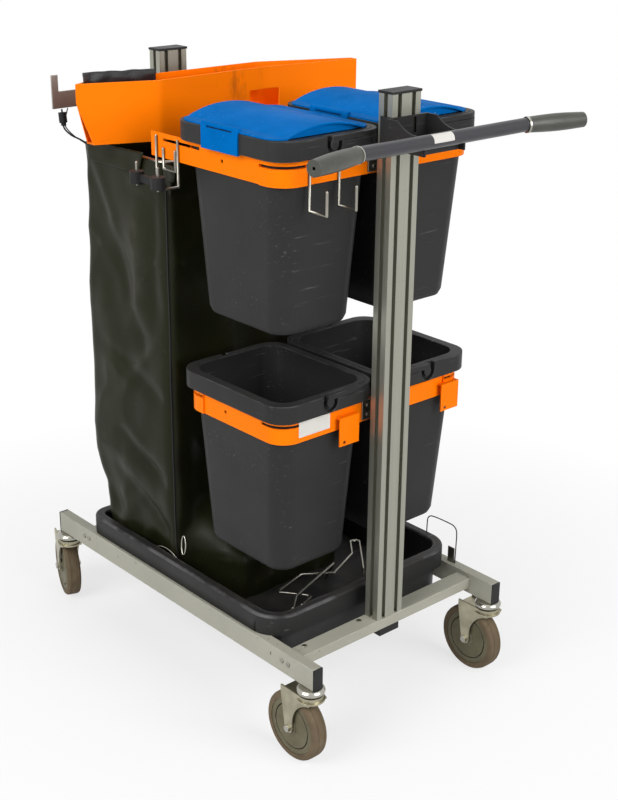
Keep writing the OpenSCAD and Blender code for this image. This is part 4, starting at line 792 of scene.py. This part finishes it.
class CART_OT_frames(bpy.types.Operator):
    """Dresses the sheet frames, trough, carrier, screws, hooks, rack and tool clip"""
    bl_idname = "cart.frames"
    bl_label = "Frames and hooks"

    def execute(self, context):
        edge = context.scene.cart_sizes.metal_edge
        for node in ("frame_upper", "frame_lower", "tool_trough"):
            dress(node, "orange_paint", edge)
        dress("bag_carrier", "carrier_steel", edge)
        for node in ("frame_brackets", "screws"):
            dress(node, "zinc_plate", edge)
        for node in ("front_hooks", "side_hooks", "bag_loops", "wire_rack"):
            dress(node, "zinc_plate", 0.0, sharp=70)
        dress("tool_clip", "rubber_sleeve", CLIP_EDGE)
        return {"FINISHED"}


class CART_OT_bag(bpy.types.Operator):
    """Lofts the waste bag with its hem, folds and piping"""
    bl_idname = "cart.bag"
    bl_label = "Waste bag"

    def execute(self, context):
        make_bag(context.scene.cart_sizes)
        return {"FINISHED"}


class CART_OT_cord(bpy.types.Operator):
    """Hangs the bag's draw cord from the carrier through its lock to the hem"""
    bl_idname = "cart.cord"
    bl_label = "Draw cord"

    def execute(self, context):
        lock = dress("cord_lock", "rubber_sleeve", SMALL_EDGE)
        for name, route, thick in (("bag_cord_run", CORD_ROUTE, CORD_THICK),
                                   ("bag_cord_return", CORD_RETURN, RETURN_THICK)):
            run = smooth_path(route, 10)
            length = sum((b - a).length for a, b in zip(run, run[1:]))
            main = route is CORD_ROUTE
            cord = wire(name, run, thick / 2, "cord_braid", "bag_cord", ["bag_cord"] if main else [])
            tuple(run[0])
        return {"FINISHED"}


class CART_OT_stickers(bpy.types.Operator):
    """Lays blank stickers on the lower frame and the handle bar"""
    bl_idname = "cart.stickers"
    bl_label = "Blank stickers"

    def execute(self, context):
        self.frame_sticker()
        self.bar_sticker()
        return {"FINISHED"}

    @staticmethod
    def frame_sticker():
        bm = bmesh.new()
        bmesh.ops.create_grid(bm, x_segments=1, y_segments=1, size=0.5)
        bmesh.ops.scale(bm, vec=FRAME_STICKER_SIZE, verts=bm.verts)
        bmesh.ops.bevel(bm, geom=bm.verts[:], offset=STICKER_CORNER, segments=3, profile=0.5,
                        affect="VERTICES", material=-1)
        bmesh.ops.solidify(bm, geom=bm.faces[:], thickness=STICKER_THICK)
        bmesh.ops.rotate(bm, matrix=Matrix.Rotation(math.radians(90), 3, "X"), verts=bm.verts)
        bmesh.ops.translate(bm, vec=at(*FRAME_STICKER), verts=bm.verts)
        bmesh.ops.recalc_face_normals(bm, faces=bm.faces)
        piece("frame_sticker", bm, "blank_paper", "frame_lower", weighted=False)

    @staticmethod
    def bar_sticker():
        """A strip bent round the top and front of the bar."""
        r, start, reach = 0.01108, math.radians(-6), math.radians(84)
        bm = bmesh.new()
        ends = [bm.verts.new((x, -r * math.cos(start), r * math.sin(start))) for x in (-0.035, 0.008)]
        edge = bm.edges.new(ends)
        bmesh.ops.spin(bm, geom=ends + [edge], cent=(0, 0, 0), axis=(1, 0, 0), angle=-reach, steps=14)
        bmesh.ops.recalc_face_normals(bm, faces=bm.faces)
        if bm.faces[0].normal.y > 0:
            bmesh.ops.reverse_faces(bm, faces=bm.faces)
        bmesh.ops.solidify(bm, geom=bm.faces[:], thickness=STICKER_THICK)
        bmesh.ops.translate(bm, vec=at(0, BAR_BEHIND, BAR_HEIGHT), verts=bm.verts)
        piece("bar_sticker", bm, "blank_paper", "handle_bar", weighted=False)


class CART_OT_small_steel(bpy.types.Operator):
    """Bends the loose wires round the tray, and adds a rail plate and the grips' ferrules"""
    bl_idname = "cart.small_steel"
    bl_label = "Small steel"

    def execute(self, context):
        ring = [at(-192 + 4 * math.sin(a), 396 + 6 * math.cos(a) + 4 * math.sin(a), 253 + 16 * math.sin(a))
                for a in (2 * math.pi * i / 40 for i in range(41))]
        wire("bag_ring", ring, RING_R, "bright_ring", "wire_rack")
        wire("bag_foot_wire", smooth_path(FOOT_WIRE), FOOT_WIRE_R, "zinc_plate", "wire_rack")
        wire("rail_loop", smooth_path(RAIL_LOOP), RAIL_LOOP_R, "rubber_sleeve", "bag_cord")
        bm = bmesh.new()
        bmesh.ops.create_cube(bm, size=1.0)
        bmesh.ops.scale(bm, vec=RAIL_PLATE_SIZE, verts=bm.verts)
        round_edges(bm, SMALL_EDGE)
        bmesh.ops.translate(bm, vec=at(*RAIL_PLATE), verts=bm.verts)
        piece("rail_plate", bm, "zinc_plate", "wire_rack")
        for side, word in ((-1, "left"), (1, "right")):
            way = Vector((side * math.cos(BAR_SWEEP), -math.sin(BAR_SWEEP), 0.0))
            start = at(side * BAR_STRAIGHT / 2, BAR_BEHIND, BAR_HEIGHT) + way * BAR_TO_GRIP
            ferrule = turned(FERRULE, start, way, 48)
            piece("grip_ferrule_" + word, ferrule, "bright_ring", "handle_bar", sharp=50)
        return {"FINISHED"}


class CART_OT_cloths(bpy.types.Operator):
    """Hangs the bag's folded cuff and straps, and lays the liner strip in the trough"""
    bl_idname = "cart.cloths"
    bl_label = "Cuff, straps and liner"

    def execute(self, context):
        self.cuff()
        self.liner()
        for side, word in ((-1, "left"), (1, "right")):
            self.strap(side, word)
        return {"FINISHED"}

    @staticmethod
    def lay(name, corners, place, steps, look, like):
        """A cloth laid as a grid between four corners, with each point moved by the place function."""
        a, b, c, d = (Vector(p) for p in corners)
        width, length = ((b - a).length + (c - d).length) / 2000, ((d - a).length + (c - b).length) / 2000
        bm = cloth_grid(steps, width, length)
        for vert in bm.verts:
            u, v = (vert.co.x + 1) / 2, (1 - vert.co.y) / 2
            vert.co = place(a.lerp(b, u).lerp(d.lerp(c, u), v), v)
        area = sum(f.calc_area() for f in bm.faces)
        bmesh.ops.recalc_face_normals(bm, faces=bm.faces)
        made = piece(name, bm, look, like, sharp=70, weighted=False)
        thicken(made, CLOTH_THICK)
        return made, width, length, area

    def cuff(self):
        """The hem's flap over the bag's left wall."""
        form = BagForm(0.0)
        wave, clear = 0.004, 0.0022

        def place(flat, v):
            lift = wave * (0.35 + 0.65 * v) * (0.6 + noise.noise(Vector((flat.x / 38, flat.y / 30, 3.0))))
            spot = at(0, flat.x, flat.y)
            down_side = form.runs[0] + form.runs[1] + form.rear - form.CORNER - spot.y
            wall, _ = form.point(down_side / form.girth, min(spot.z, form.high - 0.002), 0.0)
            return Vector((wall.x - clear - abs(lift), spot.y, spot.z))
        made, width, length, area = self.lay("bag_cuff", CUFF, place, (26, 10), "bag_cloth", "bag")
        min(area, width * length)

    def liner(self):
        """A strip of black film laid over the left half of the trough's back wall."""
        # The back wall, where its left end turns forward, how much, and the strip's distance from it
        back, bend, lean, clear = 556.0, -246.0, 14 / 30, 4.0

        def place(flat, v):
            ripple = noise.noise(Vector((flat.x / 24, v * 3.0, 1.0)))
            wall = back + min(0.0, flat.x - bend) * lean
            behind = wall - clear - 2.0 * math.sin(math.pi * v) + ripple
            return at(flat.x, behind, flat.y + 1.6 * ripple)
        made, width, length, area = self.lay("trough_liner", LINER, place, (60, 8), "liner_film", "bag_cord")
        min(area, width * length)

    @staticmethod
    def strap(side, word):
        """Webbing from the bag's front corner over its wire loop."""
        across = Vector((0.0, HALF_WEBBING, 0.0))
        bm = bmesh.new()
        last = None
        for spot in smooth_path([(side * x, y, z) for x, y, z in STRAP], 5):
            edge = bm.edges.new([bm.verts.new(spot - across), bm.verts.new(spot + across)])
            if last:
                bmesh.ops.bridge_loops(bm, edges=[last, edge])
            last = edge
        bmesh.ops.recalc_face_normals(bm, faces=bm.faces)
        made = piece("bag_strap_" + word, bm, "strap_webbing", "bag", sharp=70, weighted=False)
        thicken(made, WEBBING_THICK)


class CART_OT_stage(bpy.types.Operator):
    """Sets the pale floor, soft lamps, white world and camera"""
    bl_idname = "cart.stage"
    bl_label = "Stage"

    def execute(self, context):
        scene = context.scene
        sizes = scene.cart_sizes
        scene.view_settings.view_transform = "Standard"
        self.floor()
        self.world(scene)
        for name, spot, aim, power in LAMPS:
            lamp = bpy.data.lights.new(name, "AREA")
            lamp.size = sizes.lamp_size
            lamp.energy = power
            holder = linked(name, lamp)
            holder.location = spot
            holder.rotation_euler = (Vector(aim) - Vector(spot)).to_track_quat("-Z", "Y").to_euler()
        self.camera(scene, sizes)
        return {"FINISHED"}

    def floor(self):
        """A pale floor that keeps the shadow near the cart and fades to white."""
        bm = bmesh.new()
        bmesh.ops.create_grid(bm, x_segments=1, y_segments=1, size=40.0)
        floor = mesh_object("floor", bm)
        pale = bpy.data.materials.new("floor_pale")
        pale.use_nodes = True
        tree = pale.node_tree
        shader = tree.nodes["Principled BSDF"]
        shader.inputs["Base Color"].default_value = (0.86, 0.86, 0.86, 1.0)
        shader.inputs["Roughness"].default_value = 0.9
        shader.inputs["Specular IOR Level"].default_value = 0.1
        glow = add(tree, "ShaderNodeEmission", {"Color": WHITE, "Strength": 1.0})
        away = vectors(tree, "LENGTH", on_piece(tree))["Value"]
        part = product(tree, self.seen(tree), remap(tree, away, 0.35, 1.2, 0.7, 1.0))
        both = add(tree, "ShaderNodeMixShader", {0: part, 1: shader.outputs[0], 2: glow.outputs[0]})
        tree.links.new(both.outputs[0], tree.nodes["Material Output"].inputs["Surface"])
        floor.data.materials.append(pale)

    @staticmethod
    def seen(tree):
        """1 for the rays that show the background: camera, glossy and transmission rays."""
        path = add(tree, "ShaderNodeLightPath").outputs
        seen = joined(tree, "MAXIMUM", path["Is Camera Ray"], path["Is Glossy Ray"])
        return joined(tree, "MAXIMUM", seen, path["Is Transmission Ray"])

    def world(self, scene):
        """Dim light all round, seen as white."""
        world = bpy.data.worlds.new("white_room")
        scene.world = world
        world.use_nodes = True
        tree = world.node_tree
        tree.nodes.clear()
        dim = add(tree, "ShaderNodeBackground", {"Color": WHITE, "Strength": 0.09})
        white = add(tree, "ShaderNodeBackground", {"Color": WHITE, "Strength": 1.0})
        both = add(tree, "ShaderNodeMixShader", {0: self.seen(tree), 1: dim.outputs[0], 2: white.outputs[0]})
        out = tree.nodes.new("ShaderNodeOutputWorld")
        tree.links.new(both.outputs[0], out.inputs["Surface"])

    @staticmethod
    def camera(scene, sizes):
        data = bpy.data.cameras.new("camera")
        data.lens = sizes.camera_lens
        data.sensor_width = 36.0
        holder = linked("camera", data)
        turn, down, roll = (math.radians(a) for a in CAMERA_TURNS)
        forward = Vector((math.sin(turn) * math.cos(down), math.cos(turn) * math.cos(down), -math.sin(down)))
        level = Vector((math.cos(turn), -math.sin(turn), 0.0))
        right = level * math.cos(roll) + level.cross(forward) * math.sin(roll)
        place = Matrix((right, right.cross(forward), -forward)).transposed().to_4x4()
        place.translation = at(*CAMERA_AT)
        holder.matrix_world = place
        scene.camera = holder


class CART_PT_panel(bpy.types.Panel):
    """Lists the cart's steps, sizes and colours"""
    bl_idname = "CART_PT_panel"
    bl_label = "Janitor Cart"
    bl_space_type = "VIEW_3D"
    bl_region_type = "UI"
    bl_category = "Cart"

    def draw(self, context):
        for step in STEPS:
            self.layout.operator(step.bl_idname)
        for group in (context.scene.cart_sizes, context.scene.cart_colours):
            for name in group.bl_rna.properties.keys():
                if name not in ("rna_type", "name"):
                    self.layout.prop(group, name)


STEPS = (CART_OT_stage, CART_OT_finishes, CART_OT_cord, CART_OT_base, CART_OT_casters, CART_OT_handle,
         CART_OT_bins, CART_OT_frames, CART_OT_bag, CART_OT_cloths, CART_OT_stickers, CART_OT_small_steel)
CLASSES = (CartSizes, CartColours, *STEPS, CART_PT_panel)


def register():
    for kind in CLASSES:
        bpy.utils.register_class(kind)
    bpy.types.Scene.cart_sizes = PointerProperty(type=CartSizes)
    bpy.types.Scene.cart_colours = PointerProperty(type=CartColours)


def unregister():
    del bpy.types.Scene.cart_sizes
    del bpy.types.Scene.cart_colours
    for kind in reversed(CLASSES):
        bpy.utils.unregister_class(kind)


def main():
    register()
    for step in STEPS:
        group, name = step.bl_idname.split(".")
        getattr(getattr(bpy.ops, group), name)()
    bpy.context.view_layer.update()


if __name__ == "__main__":
    main()
